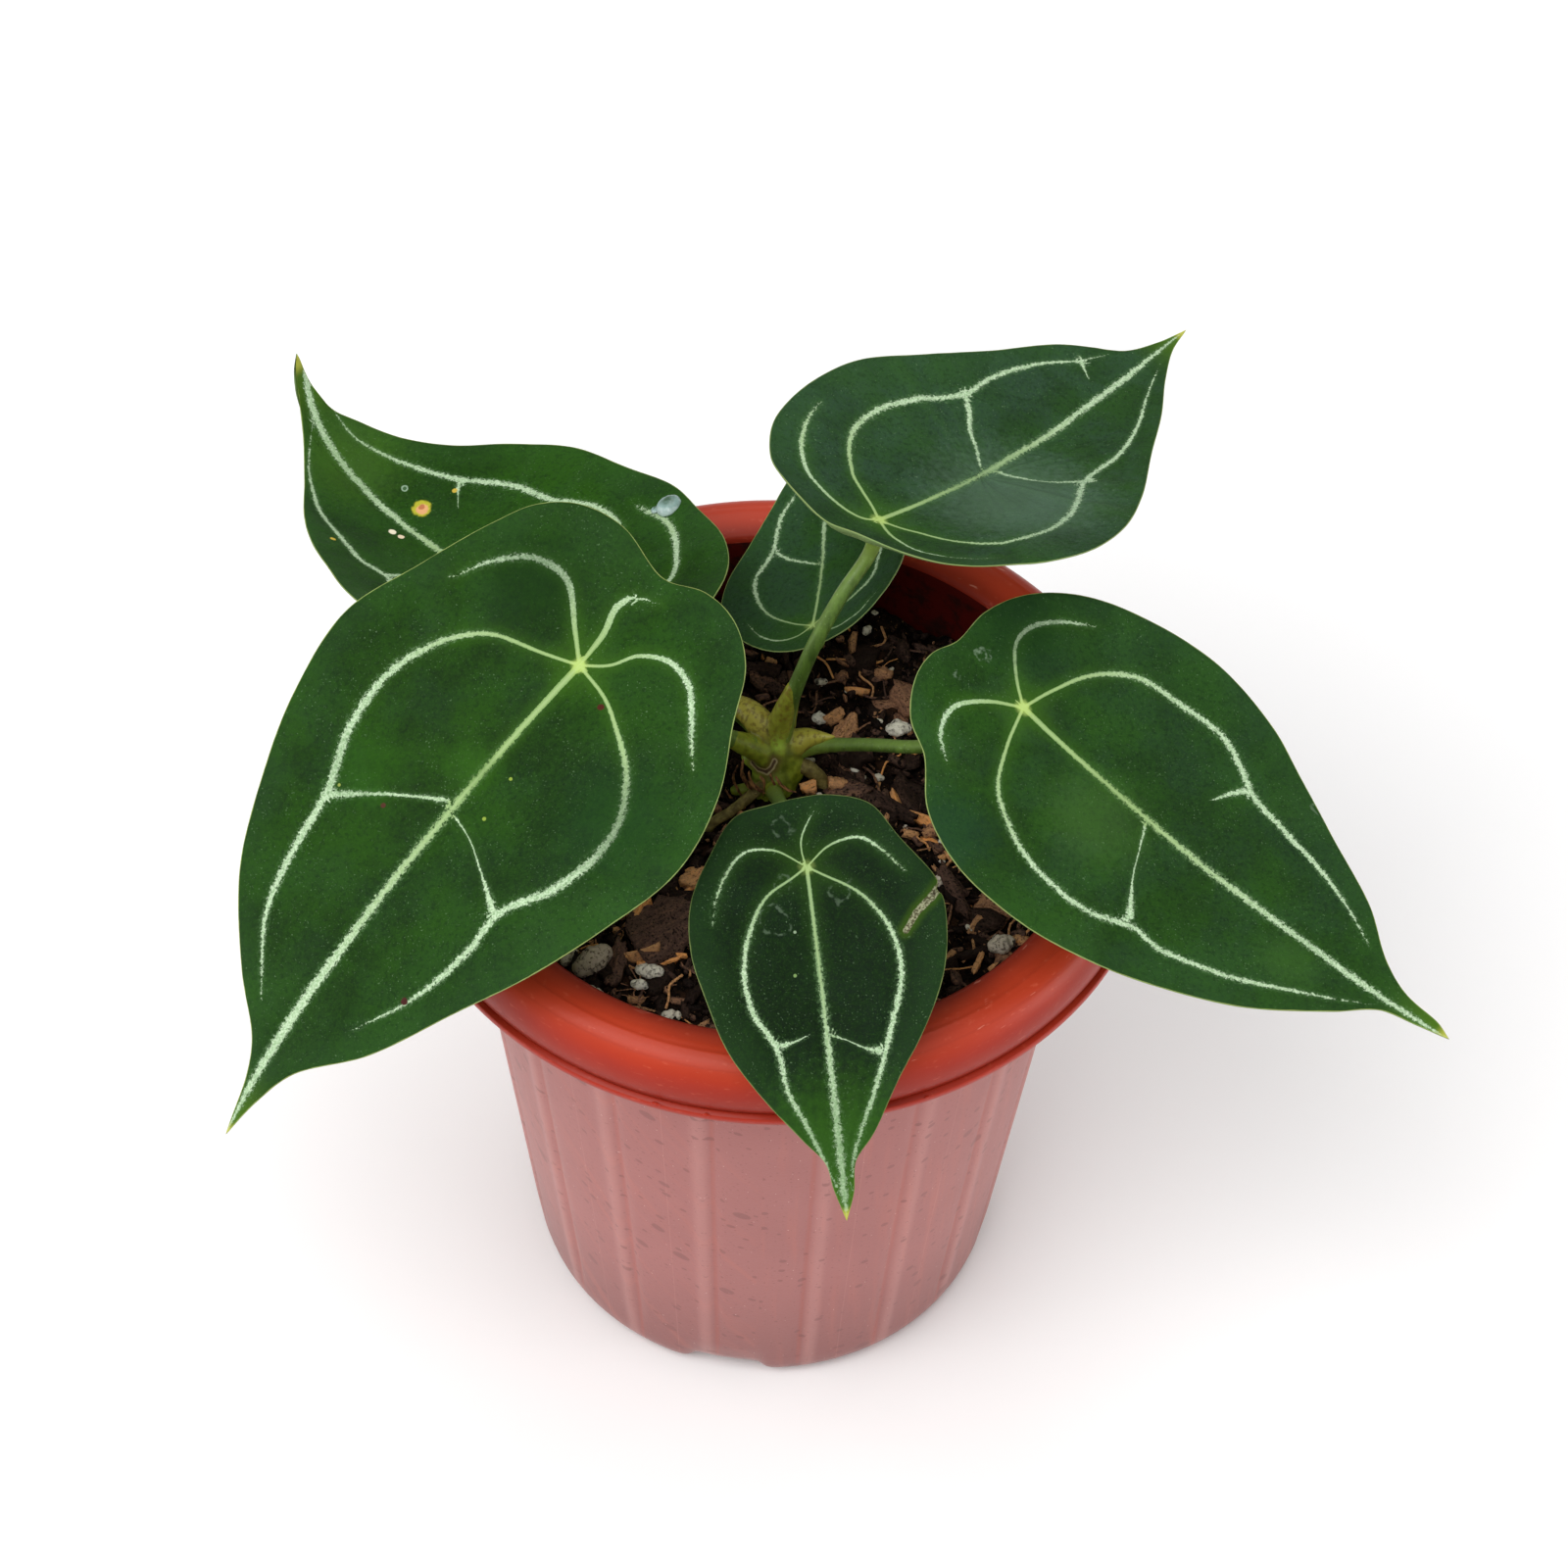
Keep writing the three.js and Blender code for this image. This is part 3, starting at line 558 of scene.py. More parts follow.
LEAVES = {
    "front_left": {
        "joint": (-40.2, -7.3, 197), "turns": (227.1, -17.9, -4.2), "length": 122,
        "bend": -30.2, "curl": -13.5, "back": 7.7, "fold": 0.107, "cup": -0.039, "side": 0, "twist": 0,
        "left": [(111, 3), (101, 7), (87, 19), (69, 29), (54, 37), (38, 43), (20, 47), (4, 43), (-10, 34),
                 (-21, 27), (-27, 18), (-28, 9)],
        "heel": -25,
        "right": [(108, -2), (101, -5), (91, -15), (75, -28), (58, -36), (41, -42), (22, -45), (5, -40),
                  (-11, -35), (-20, -31), (-26, -24), (-28, -14)],
        "midrib": [(0, 1.1), (0.25, 0.85), (0.5, 0.9), (0.78, 1.15), (0.9, 0.75), (1, 0.1)],
        "veins": [
            ([(0, 0), (2, 9), (5, 15), (12, 25), (22, 31), (36, 30), (49, 23), (58, 23), (71, 20), (85, 13)],
             (0.5, 0.75, 0.95, 0.75, 0.25), 0.8),
            ([(0, 0), (3, -8), (7, -19), (14, -25), (25, -29), (39, -28), (52, -23), (65, -21), (78, -18),
              (93, -8)], (0.5, 0.7, 0.95, 0.8, 0.25), 0.8),
            ([(39, -1), (41, 7), (44, 13), (49, 22)], (0.3, 0.12, 0.22, 0.9), 2),
            ([(38, -2), (41, -7), (45, -13), (52, -22)], (0.5, 0.3, 0.36, 0.95), 2),
            ([(0, 0), (-4, 5), (-9, 8), (-12, 14), (-11, 20), (-8, 24), (-4, 28), (2, 34)],
             (0.5, 0.55, 0.85, 0.7, 0.3), 0.72),
            ([(0, 0), (-5, -6), (-12, -15), (-11, -23), (-5, -29), (3, -33)], (0.6, 0.8, 0.9, 0.7, 0.3), 0.6),
            ([(0, 0), (-8, -1), (-14, -3), (-17, -2.5)], (0.5, 0.9, 1.0, 0.9), 2),
            ([(-17, -2.5), (-19, 0), (-20, 3)], (0.3, 0.4, 0.2), 0.1),
        ],
    },
    "back_left": {
        "joint": (-39.5, 24.9, 176), "turns": (147.4, -24.1, 15.7), "length": 111.5,
        "bend": 32, "curl": 61.3, "back": -1.4, "fold": 0.263, "cup": 0.12, "side": -0.21, "twist": 1.7,
        "point": (1.8, 4.4),
        "left": [(109.5, 3.5), (103, 3.5), (95, 6), (84, 13), (71, 23), (60, 29), (49, 33), (36, 38),
                 (24, 41), (8, 39), (-5, 34), (-16, 27), (-24, 17), (-27, 6)],
        "heel": -27,
        "right": [(110.5, 1.7), (104.5, -1.6), (98, -5), (91, -10), (80, -16), (69, -23), (57, -32),
                  (42, -39), (25, -40), (9, -39), (-3, -34), (-16, -27), (-24, -18), (-27, -8)],
        "midrib": [(0, 1.1), (0.25, 0.85), (0.5, 0.9), (0.78, 1.0), (0.9, 1.1), (1, 0.9)],
        "veins": [
            ([(0, 0), (2, 7), (8, 19), (14, 25), (20, 27.5), (28, 28), (36, 25), (42, 21), (52, 21), (63, 19),
              (74, 16), (86, 10), (99, 0)], (0.5, 0.7, 0.8, 0.6, 0.2), 0.75),
            ([(0, 0), (2, -7), (8, -19), (13, -25), (20, -28), (28, -28), (34, -26), (48, -24), (60, -18),
              (72, -13), (88, -7), (99, -5)], (0.5, 0.7, 0.8, 0.6, 0.2), 0.85),
            ([(35, 0), (37, 6), (40, 12), (43, 20)], (0.3, 0.1, 0.14, 0.9), 2),
            ([(54.4, -12.4), (56.6, -14.4), (58.2, -15.8), (59.4, -17.2)], (0.08, 0.1, 0.35, 0.8), 2),
            ([(0, 0), (-4, 4), (-8, 8), (-10, 15), (-8, 22), (-4, 27), (6, 32)], (0.5, 0.6, 0.7, 0.3), 0.7),
            ([(0, 0), (-4, -5), (-9, -9), (-10, -15), (-6, -22), (2, -29), (14, -32)],
             (0.5, 0.7, 0.9, 0.5), 0.8),
        ],
    },
    "back_right": {
        "joint": (19.4, 27.4, 205), "turns": (43.9, -19.4, -5.5), "length": 105.7,
        "bend": 15.2, "curl": -9.5, "back": 83.8, "fold": 0.272, "cup": 0.014, "side": 0.094, "twist": 6.3,
        "point": (1.5, 0), "pucker": 0.7,
        "left": [(97, 2), (89, 5), (83, 10), (75, 16), (60, 23), (45, 30), (29, 36), (14, 36), (0, 32),
                 (-9, 26), (-17, 18), (-20, 9)],
        "heel": -19,
        "right": [(99, -2), (89, -7), (78, -14), (65, -21), (48, -31), (34, -37), (21, -39), (9, -37),
                  (0, -32), (-9, -26), (-16, -18), (-20, -9)],
        "midrib": [(0, 0.9), (0.25, 0.75), (0.5, 0.85), (0.78, 0.8), (0.92, 0.4), (1, 0.1)],
        "veins": [
            ([(0, 0), (2, 4), (5, 13), (12, 21), (21, 24), (32, 23), (46, 18), (55, 18), (67, 15), (77, 10),
              (84, 7)], (0.5, 0.65, 0.75, 0.5, 0.2), 0.85),
            ([(0, 0), (2, -8), (5, -18), (12, -24), (21, -26), (33, -24), (47, -17), (60, -16), (72, -12),
              (82, -7), (92, -3)], (0.5, 0.6, 0.75, 0.5, 0.2), 0.85),
            ([(46, 18), (43, 14), (39, 10), (37, 6), (34, 2)], (0.8, 0.55, 0.45, 0.35), 2),
            ([(36, -1), (38, -6), (42, -13), (47, -18)], (0.45, 0.35, 0.4, 0.9), 2),
            ([(77.6, 9.4), (76.6, 7.6), (75.4, 5.6)], (0.7, 0.3, 0.12), 2),
            ([(0, 0), (-3, 2), (-6, 12), (-5, 17), (-2, 22), (5, 28), (12, 31)], (0.5, 0.6, 0.6, 0.3), 0.75),
            ([(0, 0), (-4, -8), (-6, -15), (-4, -22), (4, -29)], (0.5, 0.5, 0.2, 0.1), 0.2),
        ],
    },
    "right": {
        "joint": (49.6, -8.7, 190), "turns": (-35.4, -24.1, -3.1), "length": 108.6,
        "bend": 18.9, "curl": 5.5, "back": 5.2, "fold": 0.042, "cup": -0.021, "side": 0, "twist": 0,
        "left": [(105, 2), (96, 4), (89, 8), (79, 17), (65, 25), (52, 32), (40, 38), (24, 41), (8, 38),
                 (-6, 31), (-15, 21), (-19, 10)],
        "heel": -19,
        "right": [(102, -1), (94, -3), (87, -10), (73, -22), (59, -30), (45, -36), (29, -40), (12, -40),
                  (0, -35), (-8, -26), (-15, -22), (-20, -14), (-21, -7)],
        "midrib": [(0, 0.95), (0.25, 0.75), (0.5, 0.8), (0.78, 0.85), (0.92, 0.6), (1, 0.1)],
        "veins": [
            ([(0, 0), (2, 8), (6, 18), (13, 25), (23, 27), (34, 28), (42, 24), (47, 21), (57, 19), (70, 16),
              (84, 9)], (0.5, 0.65, 0.75, 0.65, 0.3), 0.82),
            ([(0, 0), (3, -10), (8, -20), (18, -26), (28, -28), (39, -27), (45, -23.5), (53, -23), (67, -18),
              (81, -10), (92, -3)], (0.5, 0.6, 0.7, 0.55, 0.2), 0.82),
            ([(45, 21), (43, 18), (41, 14)], (0.75, 0.45, 0.15), 2),
            ([(34, -1), (37, -8), (39, -13), (44, -22)], (0.35, 0.12, 0.2, 0.95), 2),
            ([(0, 0), (-5, 4), (-10, 10), (-10, 16), (-7, 21), (-1, 27)], (0.5, 0.55, 0.6, 0.3), 0.8),
            ([(0, 0), (-6, -5), (-10, -11), (-10, -16), (-8, -20), (-4, -23)], (0.5, 0.7, 0.7, 0.4), 0.6),
        ],
    },
    "front": {
        "joint": (6.8, -43.4, 180), "turns": (-81.2, -16.1, 2.2), "length": 70.9,
        "bend": -23.5, "curl": -3.7, "back": 4.8, "fold": 0.089, "cup": 0.002, "side": 0, "twist": 0,
        "point": (0.7, 0),
        "left": [(66, 2), (60, 3), (55, 7), (45, 13), (36, 19), (26, 24), (17, 26), (9.6, 26), (8, 25),
                 (6.4, 25.4), (-4, 19), (-12, 14), (-15, 6)],
        "heel": -15,
        "right": [(65, -2), (60, -3), (55, -7), (46, -14), (36, -20), (26, -23), (16, -25), (6, -24),
                  (-4, -19), (-12, -13), (-14, -6)],
        "midrib": [(0, 0.6), (0.25, 0.55), (0.5, 0.6), (0.8, 0.85), (0.93, 0.75), (1, 0.2)],
        "veins": [
            ([(0, 0), (2, -3), (6, -9), (13, -13), (21, -15), (29, -14), (37, -10), (45, -9), (52, -6),
              (65, -1.2)], (0.35, 0.45, 0.6, 0.5, 0.4), 0.85),
            ([(0, 0), (2, 3), (7, 10), (15, 15), (24, 16), (34, 13), (42, 10), (48, 7.5), (57, 3.4),
              (64, 1.4)], (0.35, 0.45, 0.6, 0.5, 0.4), 0.8),
            ([(36, -10), (35.5, -7), (34.5, -4)], (0.75, 0.25, 0.08), 2),
            ([(39, 10), (38, 7), (36, 3.5), (35, 1)], (0.75, 0.2, 0.08, 0.3), 2),
            ([(0, 0), (-4, -6), (-4, -12), (0, -16), (6, -19), (10, -20)], (0.25, 0.35, 0.4, 0.3), 0.35),
            ([(0, 0), (-4, 5), (-5, 11), (-3, 14), (3, 19)], (0.25, 0.35, 0.45, 0.3), 0.4),
            ([(0, 0), (-3, -0.6), (-6, -0.4), (-9, 1), (-12, 3)], (0.25, 0.25, 0.25, 0.2), 0.6),
        ],
    },
    "back": {
        "joint": (6.6, 29.9, 168), "turns": (82.5, -12.4, -25.6), "length": 56.6,
        "bend": 33, "curl": 0, "back": 24.7, "fold": 0.222, "cup": 0.069, "side": 0, "twist": 8.5,
        "left": [(50, 3), (43, 8), (35, 12), (26, 16), (15, 20), (5, 20), (-2, 16), (-8, 9), (-10, 3)],
        "heel": -10,
        "right": [(50, -3), (43, -8), (33, -14), (22, -19), (13, -21), (4, -19), (-5, -14), (-10, -9)],
        "midrib": [(0, 0.5), (0.25, 0.4), (0.6, 0.45), (1, 0.1)],
        "veins": [
            ([(0, 0), (2, 5), (5, 10), (10, 13), (17, 14), (24, 11), (31, 10), (35, 9), (40, 6)],
             (0.3, 0.4, 0.5, 0.4), 0.85),
            ([(0, 0), (2, -2), (5, -8), (10, -13), (15, -14), (20, -14), (27, -11), (36, -8)],
             (0.3, 0.4, 0.45, 0.3), 0.8),
            ([(24, 10), (22, 7), (20, 1)], (0.5, 0.35, 0.25), 2),
            ([(0, 0), (-3, 3), (-4, 7), (-2, 11), (2, 14)], (0.3, 0.35, 0.2), 0.5),
            ([(0, 0), (-3, -3), (-4, -7), (-2, -11), (3, -15)], (0.3, 0.35, 0.2), 0.5),
        ],
    },
}
BLADE_THICKNESS = 0.5
THIN_VEIN = 0.08
# What stands for the heading of a vein that doesn't start at the joint
NO_HEADING = 9
FOLD_WIDTH = 6
ACROSS = 0.6
CURL_START = 0.7
BACK_REACH = 0.25
BLADE_CENTRE = 0.3
# The length from which a blade is large, and how many points lie round it and rings out from its centre
LARGE_BLADE = 80
BLADE_DETAIL = {"large": (390, 62), "small": (280, 44)}


class Sheet:
    """The curved sheet that a blade lies on."""

    def __init__(self, leaf):
        self.leaf = leaf
        yaw, pitch, roll = np.radians(leaf["turns"])
        self.along = np.array([math.cos(pitch) * math.cos(yaw), math.cos(pitch) * math.sin(yaw),
                               math.sin(pitch)])
        level = np.array([-math.sin(yaw), math.cos(yaw), 0])
        over = np.cross(self.along, level)
        self.left = math.cos(roll) * level + math.sin(roll) * over
        self.up = math.cos(roll) * over - math.sin(roll) * level
        self.joint = np.array(leaf["joint"], float)
        self.reach = np.linspace(-0.5 * leaf["length"], 1.2 * leaf["length"], 400)
        angle = self.slope(self.reach)
        step = self.reach[1] - self.reach[0]
        self.forward = self.summed(np.cos(angle), step)
        self.rise = self.summed(np.sin(angle), step)

    def summed(self, rate, step):
        """How far a rate has led by each place of the reach, counted from the joint."""
        total = np.concatenate([[0], np.cumsum((rate[1:] + rate[:-1]) / 2 * step)])
        return total - np.interp(0, self.reach, total)

    def slope(self, u):
        share = u / self.leaf["length"]
        curled = np.clip((share - CURL_START) / (1 - CURL_START), 0, 1.3)
        raised = np.clip(-share / BACK_REACH, 0, 2)
        bent = self.leaf["bend"] * share + self.leaf["curl"] * curled ** 2 - self.leaf["back"] * raised ** 2
        return np.radians(bent)

    def points(self, u, v):
        leaf = self.leaf
        share = u / leaf["length"]
        folded = leaf["fold"] * (np.hypot(v, FOLD_WIDTH) - FOLD_WIDTH)
        lift = folded + leaf["cup"] * v * v / (ACROSS * leaf["length"])
        twist = np.radians(leaf["twist"]) * share
        sway = leaf["side"] * leaf["length"] * np.clip(share, 0, 2) ** 2
        across = np.cos(twist) * v - np.sin(twist) * lift + sway
        above = np.sin(twist) * v + np.cos(twist) * lift
        angle = self.slope(u)
        forward = np.interp(u, self.reach, self.forward) - np.sin(angle) * above
        rise = np.interp(u, self.reach, self.rise) + np.cos(angle) * above
        return (self.joint + forward[:, None] * self.along + rise[:, None] * self.up
                + across[:, None] * self.left)

    def normals(self, u, v):
        nudge = 0.05
        along_u = self.points(u + nudge, v) - self.points(u - nudge, v)
        along_v = self.points(u, v + nudge) - self.points(u, v - nudge)
        normal = np.cross(along_u, along_v)
        return normal / np.linalg.norm(normal, axis=1, keepdims=True)


def beside_line(places, line):
    """Each place's distance from a line, its share along it, and 1 or -1 for the left or right side."""
    best = np.full(len(places), 1e9)
    share = np.zeros(len(places))
    side = np.ones(len(places))
    for index in range(len(line) - 1):
        a = line[index]
        b = line[index + 1]
        span = b - a
        part = np.clip(((places - a) @ span) / max(span @ span, 1e-9), 0, 1)
        distance = np.linalg.norm(places - a - part[:, None] * span, axis=1)
        nearer = distance < best
        turn = span[0] * (places[:, 1] - a[1]) - span[1] * (places[:, 0] - a[0])
        best[nearer] = distance[nearer]
        share[nearer] = (index + part[nearer]) / (len(line) - 1)
        side[nearer] = np.where(turn[nearer] >= 0, 1, -1)
    return best, share, side


def vein_fields(leaf, places):
    """The nearest pale vein at each place: distance with its side, half width, gap to its edge, and wear.

    The sides take turns around the stalk's joint, so the distance has no false crossing between two veins.
    """
    length = leaf["length"]
    shares, halves = np.array(leaf["midrib"]).T
    axis = np.array([(0, 0), (length, 0)], float)
    lines = [(axis, shares, halves, 2)]
    for points, widths, frays_from in leaf["veins"]:
        line = smooth_path(points, 8 * len(points))
        lines.append((line, np.linspace(0, 1, len(widths)), widths, frays_from))
    headings = []
    for line, *_ in lines:
        u, v = line[len(line) // 8 or 1]
        headings.append(math.atan2(v, u) if np.hypot(*line[0]) < 1 else NO_HEADING)
    order = np.argsort(np.argsort(headings))
    apart, half, gap, wear = np.zeros((4, len(places)))
    gap += 1e3
    for (line, shares, halves, frays_from), heading, rank in zip(lines, headings, order):
        distance, share, side = beside_line(places, line)
        wide = np.maximum(np.interp(share, shares, halves), THIN_VEIN)
        nearer = distance - wide < gap
        turned = side if rank % 2 or heading == NO_HEADING else -side
        worn = np.clip((share - frays_from) / abs(1 - frays_from), 0, 1)
        gap[nearer] = (distance - wide)[nearer]
        apart[nearer] = (turned * distance)[nearer]
        half[nearer] = wide[nearer]
        wear[nearer] = worn[nearer]
    return apart, half, gap, wear


# How light each blade's green is, how much painted grey-blue sheen it carries, how yellow the veins are near
# its stalk, and how strongly its edge shows
LEAF_TONES = {
    "front_left": (0.38, 0.0, 0.55, 0.8),
    "back_left": (0.75, 0.0, 0.5, 0.7),
    "back_right": (0.35, 0.75, 0.5, 0.5),
    "right": (0.45, 0.2, 0.55, 0.8),
    "front": (-0.62, 0.1, 0.2, 0.35),
    "back": (0.75, 0.7, 0.3, 0.6),
}

# Small blemishes and broad patches of tone on the blades, with a painted sheen on the back right one and a
# painted highlight on the right one: u, v, radius, colour and strength
MARKS = {
    "front_left": [(4, 10, 0.75, (70, 34, 24), 1), (47, -11.7, 0.6, (74, 40, 34), 1),
                   (74.1, 18.2, 0.9, (66, 34, 30), 1), (26.6, 5.8, 0.4, (150, 172, 70), 0.7),
                   (36.1, 7.1, 0.45, (150, 172, 70), 0.7), (49.5, -21.8, 0.4, (170, 180, 90), 0.6),
                   (30, -3, 7, (48, 92, 22), 0.35), (20, 30, 16, (22, 52, 22), 0.5),
                   (-8, -20, 15, (18, 46, 12), 0.55), (44, -20, 11, (44, 92, 14), 0.3)],
    "back_left": [(60.8, -6.3, 2.6, (190, 184, 56), 0.8), (60.5, -6.3, 1.7, (214, 160, 110), 1),
                  (61.1, -6.7, 0.9, (166, 96, 62), 0.8), (59.1, 4.5, 1.1, (232, 222, 196), 1),
                  (56.5, 4, 0.9, (226, 206, 176), 1), (68.6, -7.5, 1, (150, 176, 150), 0.8),
                  (68.6, -7.5, 0.6, (44, 78, 40), 0.9), (60.5, 22.4, 0.8, (206, 176, 70), 0.9),
                  (58.6, -15, 0.7, (206, 176, 70), 0.8), (84, -2, 20, (74, 112, 36), 0.3)],
    # A broad painted sheen on the lower half of the blade
    "back_right": [(30, -12, 26, (92, 118, 98), 0.42)],
    # The first patch is a painted highlight
    "right": [(26, -9, 15, (68, 102, 50), 0.28), (-12, 14, 15, (18, 44, 20), 0.55),
              (6, -34, 12, (24, 52, 36), 0.5), (74.1, -6, 9, (60, 100, 40), 0.3)],
    "front": [(13.5, -4, 0.35, (140, 160, 130), 0.8), (22.3, -5, 0.4, (120, 150, 90), 0.8),
              (60, 0, 24, (54, 100, 22), 0.42)],
}
# Dried tears from the edge inwards, and faint dried rings: centre, radius and strength
SCARS = {"front": [(6.6, 26.6), (9.7, 23.7), (12.1, 20.7), (15.8, 17.9)]}
RINGS = {
    "front": [(10.8, -7.7, 2.9, 0.25), (3.8, -5.4, 1.7, 0.2), (6, 6.5, 2.2, 0.2), (-9, -4, 1.6, 0.2)],
    "right": [(-13.8, 1.3, 0.8, 0.6), (-12.6, 2.6, 0.5, 0.5), (-14.7, -5.9, 0.8, 0.4), (60, 30, 3, 0.25)],
}
RING_COLOUR = (124, 146, 120)


def far_from(u, v, centre_u, centre_v):
    return ((u - centre_u) * (u - centre_u) + (v - centre_v) * (v - centre_v)) ** 0.5


def leaf_finish(side):
    """Velvety dark green with a painted grey-blue sheen and painted light on its quilting, silvery,
    feather-edged veins, a thin pale edge and its own blemishes.
    """
    fresh, grey, yellow, margin = LEAF_TONES[side]
    finish = Finish("leaf_top_" + side, {"Specular IOR Level": 0.05, "Sheen Weight": 0.0})
    u, v, edge = finish.amounts("blade")
    apart, half, gap = finish.amounts("vein")
    fray = finish.amount("fray")
    quilt = finish.amount("quilt")
    from_joint = (u * u + v * v) ** 0.5
    length = LEAVES[side]["length"]
    wobble = finish.noise(1.3, 3) - 0.5
    near = from_joint.between(0.3 * length, 0.05 * length)
    outside = (abs(apart) - half * (0.88 - near * 0.2)).at_least(gap - 0.6)

    patches = finish.noise(17, 4, rough=0.6).between(0.36, 0.64)
    cells = finish.noise(1.1, 4, rough=0.7).between(0.36, 0.66)
    colour = finish.paint(patches * 0.4 + fresh * 0.5, (11, 26, 9), (38, 78, 12))
    # Painted sheen: grey-blue clouds, more of them towards the left half, and an overall grey on greyer
    # blades
    blue = finish.noise(12, 4, shift=40, rough=0.6).between(0.42, 0.64)
    blue = (blue + (v / length).between(-0.02, 0.2) * 0.5).at_most(1)
    light = 12 * grey
    colour.coat(blue * (0.15 + grey * 0.65), (34 + light, 58 + light, 42 + light))
    colour.coat(grey * 0.32, (50, 74, 56))
    colour.coat(max(0, -fresh), (8, 23, 8))
    # Painted light: the swells of the quilted folds are lighter
    colour.coat(quilt.between(-0.2, 0.9) * (0.12 + fresh * 0.1 + grey * 0.2), (46, 80, 34))
    colour.coat(cells * (0.18 + fresh * 0.1), (42, 80, 24))
    grain = finish.noise(0.42, 2, rough=0.7).between(0.5, 0.72)
    colour.coat(grain * 0.16, (58, 94, 34))
    deep = finish.noise(0.9, 3, shift=13, rough=0.7).between(0.5, 0.36)
    colour.coat(deep * 0.4, (12, 30, 12))
    glow = outside.between(3, 0) * from_joint.between(0.5 * length, 0.05 * length)
    colour.coat(glow * (0.08 + 0.32 * yellow), (58, 98, 22))
    colour.coat(from_joint.between(10, 1) * yellow * 0.4, (70, 112, 26))
    colour.coat(edge.between(9, 0) * 0.2, (44, 78, 36))
    colour.coat(u.between(0.84 * length, 0.99 * length) * 0.7, (76, 112, 22))

    ragged = finish.noise(0.7, 6, rough=0.85) - 0.5
    feather = ragged * (4.6 - near * 4.1 + fray * 1.5) * (0.02 + 1.25 * half).at_most(1)
    band = (outside + feather + fray * 0.15).between(0.08, -0.08)
    broken = (finish.noise(1.1, 4, shift=9, rough=0.7) - 0.5 + (1 - fray) * 0.3).between(-0.01, 0.04)
    band = band * broken
    fringe = (outside + feather * 1.6).between(0.7, 0.2) * (1 - near) * broken
    colour.coat(fringe * (1.6 * half).at_most(1) * 0.22, (104, 142, 92))
    on_midrib = abs(v).between(2.5, 1.2) * u.between(-1, 3)
    behind = u.between(2, -6)
    reach = (0.38 - 0.2 * behind) * length
    young = (1 - from_joint / reach).between(0, 0.85)
    young = young.at_least(on_midrib * u.between(0.72 * length, 0.2 * length))
    pale = finish.paint(finish.noise(0.4, 2).between(0.3, 0.7), (136, 166, 124), (188, 210, 176))
    pale.coat(young, finish.blend(yellow, (112, 140, 100), (138, 170, 92)))
    pale.coat(from_joint.between(4.5, 0.3) * yellow, (160, 184, 84))
    core = (abs(apart) / half).between(0.6, 0.05) * young
    pale.coat(core * 0.4, (176, 196, 142))
    colour.coat(band * 0.95, pale)
    star = (from_joint + wobble * 1.5).between(2.2, 0.7) * yellow
    colour.coat(star, (178, 202, 112))

    dust = finish.noise(0.4, 1, shift=70).between(0.66, 0.78) * finish.noise(6, 2).between(0.35, 0.6)
    colour.coat(dust * 0.35, (120, 152, 110))
    for centre_u, centre_v, radius, tone, strength in MARKS.get(side, []):
        away = far_from(u, v, centre_u, centre_v)
        soft = 0.2 if radius > 5 else 0.75
        inside = (away / radius + wobble * 0.7).between(1.05, soft)
        colour.coat(inside * strength, tone)
    for centre_u, centre_v, radius, strength in RINGS.get(side, []):
        away = far_from(u, v, centre_u, centre_v)
        wander = (finish.noise(3.4, 3) - 0.5) * 6
        line = abs(away - radius + wander).between(0.6, 0.1) * finish.noise(1.4, 2).between(0.4, 0.6)
        colour.coat(line * away.between(radius + 1.6, radius + 0.8) * strength, RING_COLOUR)
    if side in SCARS:
        taper = (16 - u) * 0.03
        scar = finish.amount("scar") + wobble * 0.5 + 0.25 - taper
        colour.coat(scar.between(2.6, 0.9) * 0.5, (60, 88, 16))
        dry = finish.paint(finish.noise(0.45, 3).between(0.38, 0.6), (70, 66, 46), (140, 142, 112))
        colour.coat(scar.between(0.95, 0.7), dry)
        colour.coat(scar.between(0.5, 0.2) * (16 - u).between(5, 8), (36, 26, 20))
    rim = (edge + (finish.noise(3, 2) - 0.5) * 0.25).between(0.2, 0.05)
    colour.coat(rim * margin, finish.blend(finish.noise(7, 2), (150, 180, 104), (160, 160, 92)))
    colour.coat(u.between(0.965 * length, 0.995 * length) * 0.8, (186, 186, 74))

    rough = 0.55 + 0.12 * cells + band * 0.1
    relief = finish.noise(0.5, 2) * 0.5 + finish.noise(2.2, 2) * 0.6 - band * 0.3
    return finish.set(Base_Color=colour, Roughness=rough, Normal=finish.bump(relief, 0.16))


def underside_finish():
    finish = Finish("leaf_underside", {"Specular IOR Level": 0.3})
    outside = finish.amounts("vein")[2]
    mottle = finish.noise(5, 3)
    colour = finish.paint(mottle, (92, 116, 66), (118, 140, 86))
    colour.coat(outside.between(0.4, -0.2) * 0.8, (160, 176, 110))
    relief = finish.noise(1.2, 3) + outside.between(0.8, -0.3)
    return finish.set(Base_Color=colour, Roughness=0.5 + 0.2 * mottle, Normal=finish.bump(relief, 0.2))


def edge_finish():
    finish = Finish("leaf_edge", {"Specular IOR Level": 0.4})
    colour = finish.paint(finish.noise(7, 2), (104, 138, 74), (128, 134, 78))
    return finish.set(Base_Color=colour, Roughness=0.45 + 0.1 * finish.noise(2, 2))


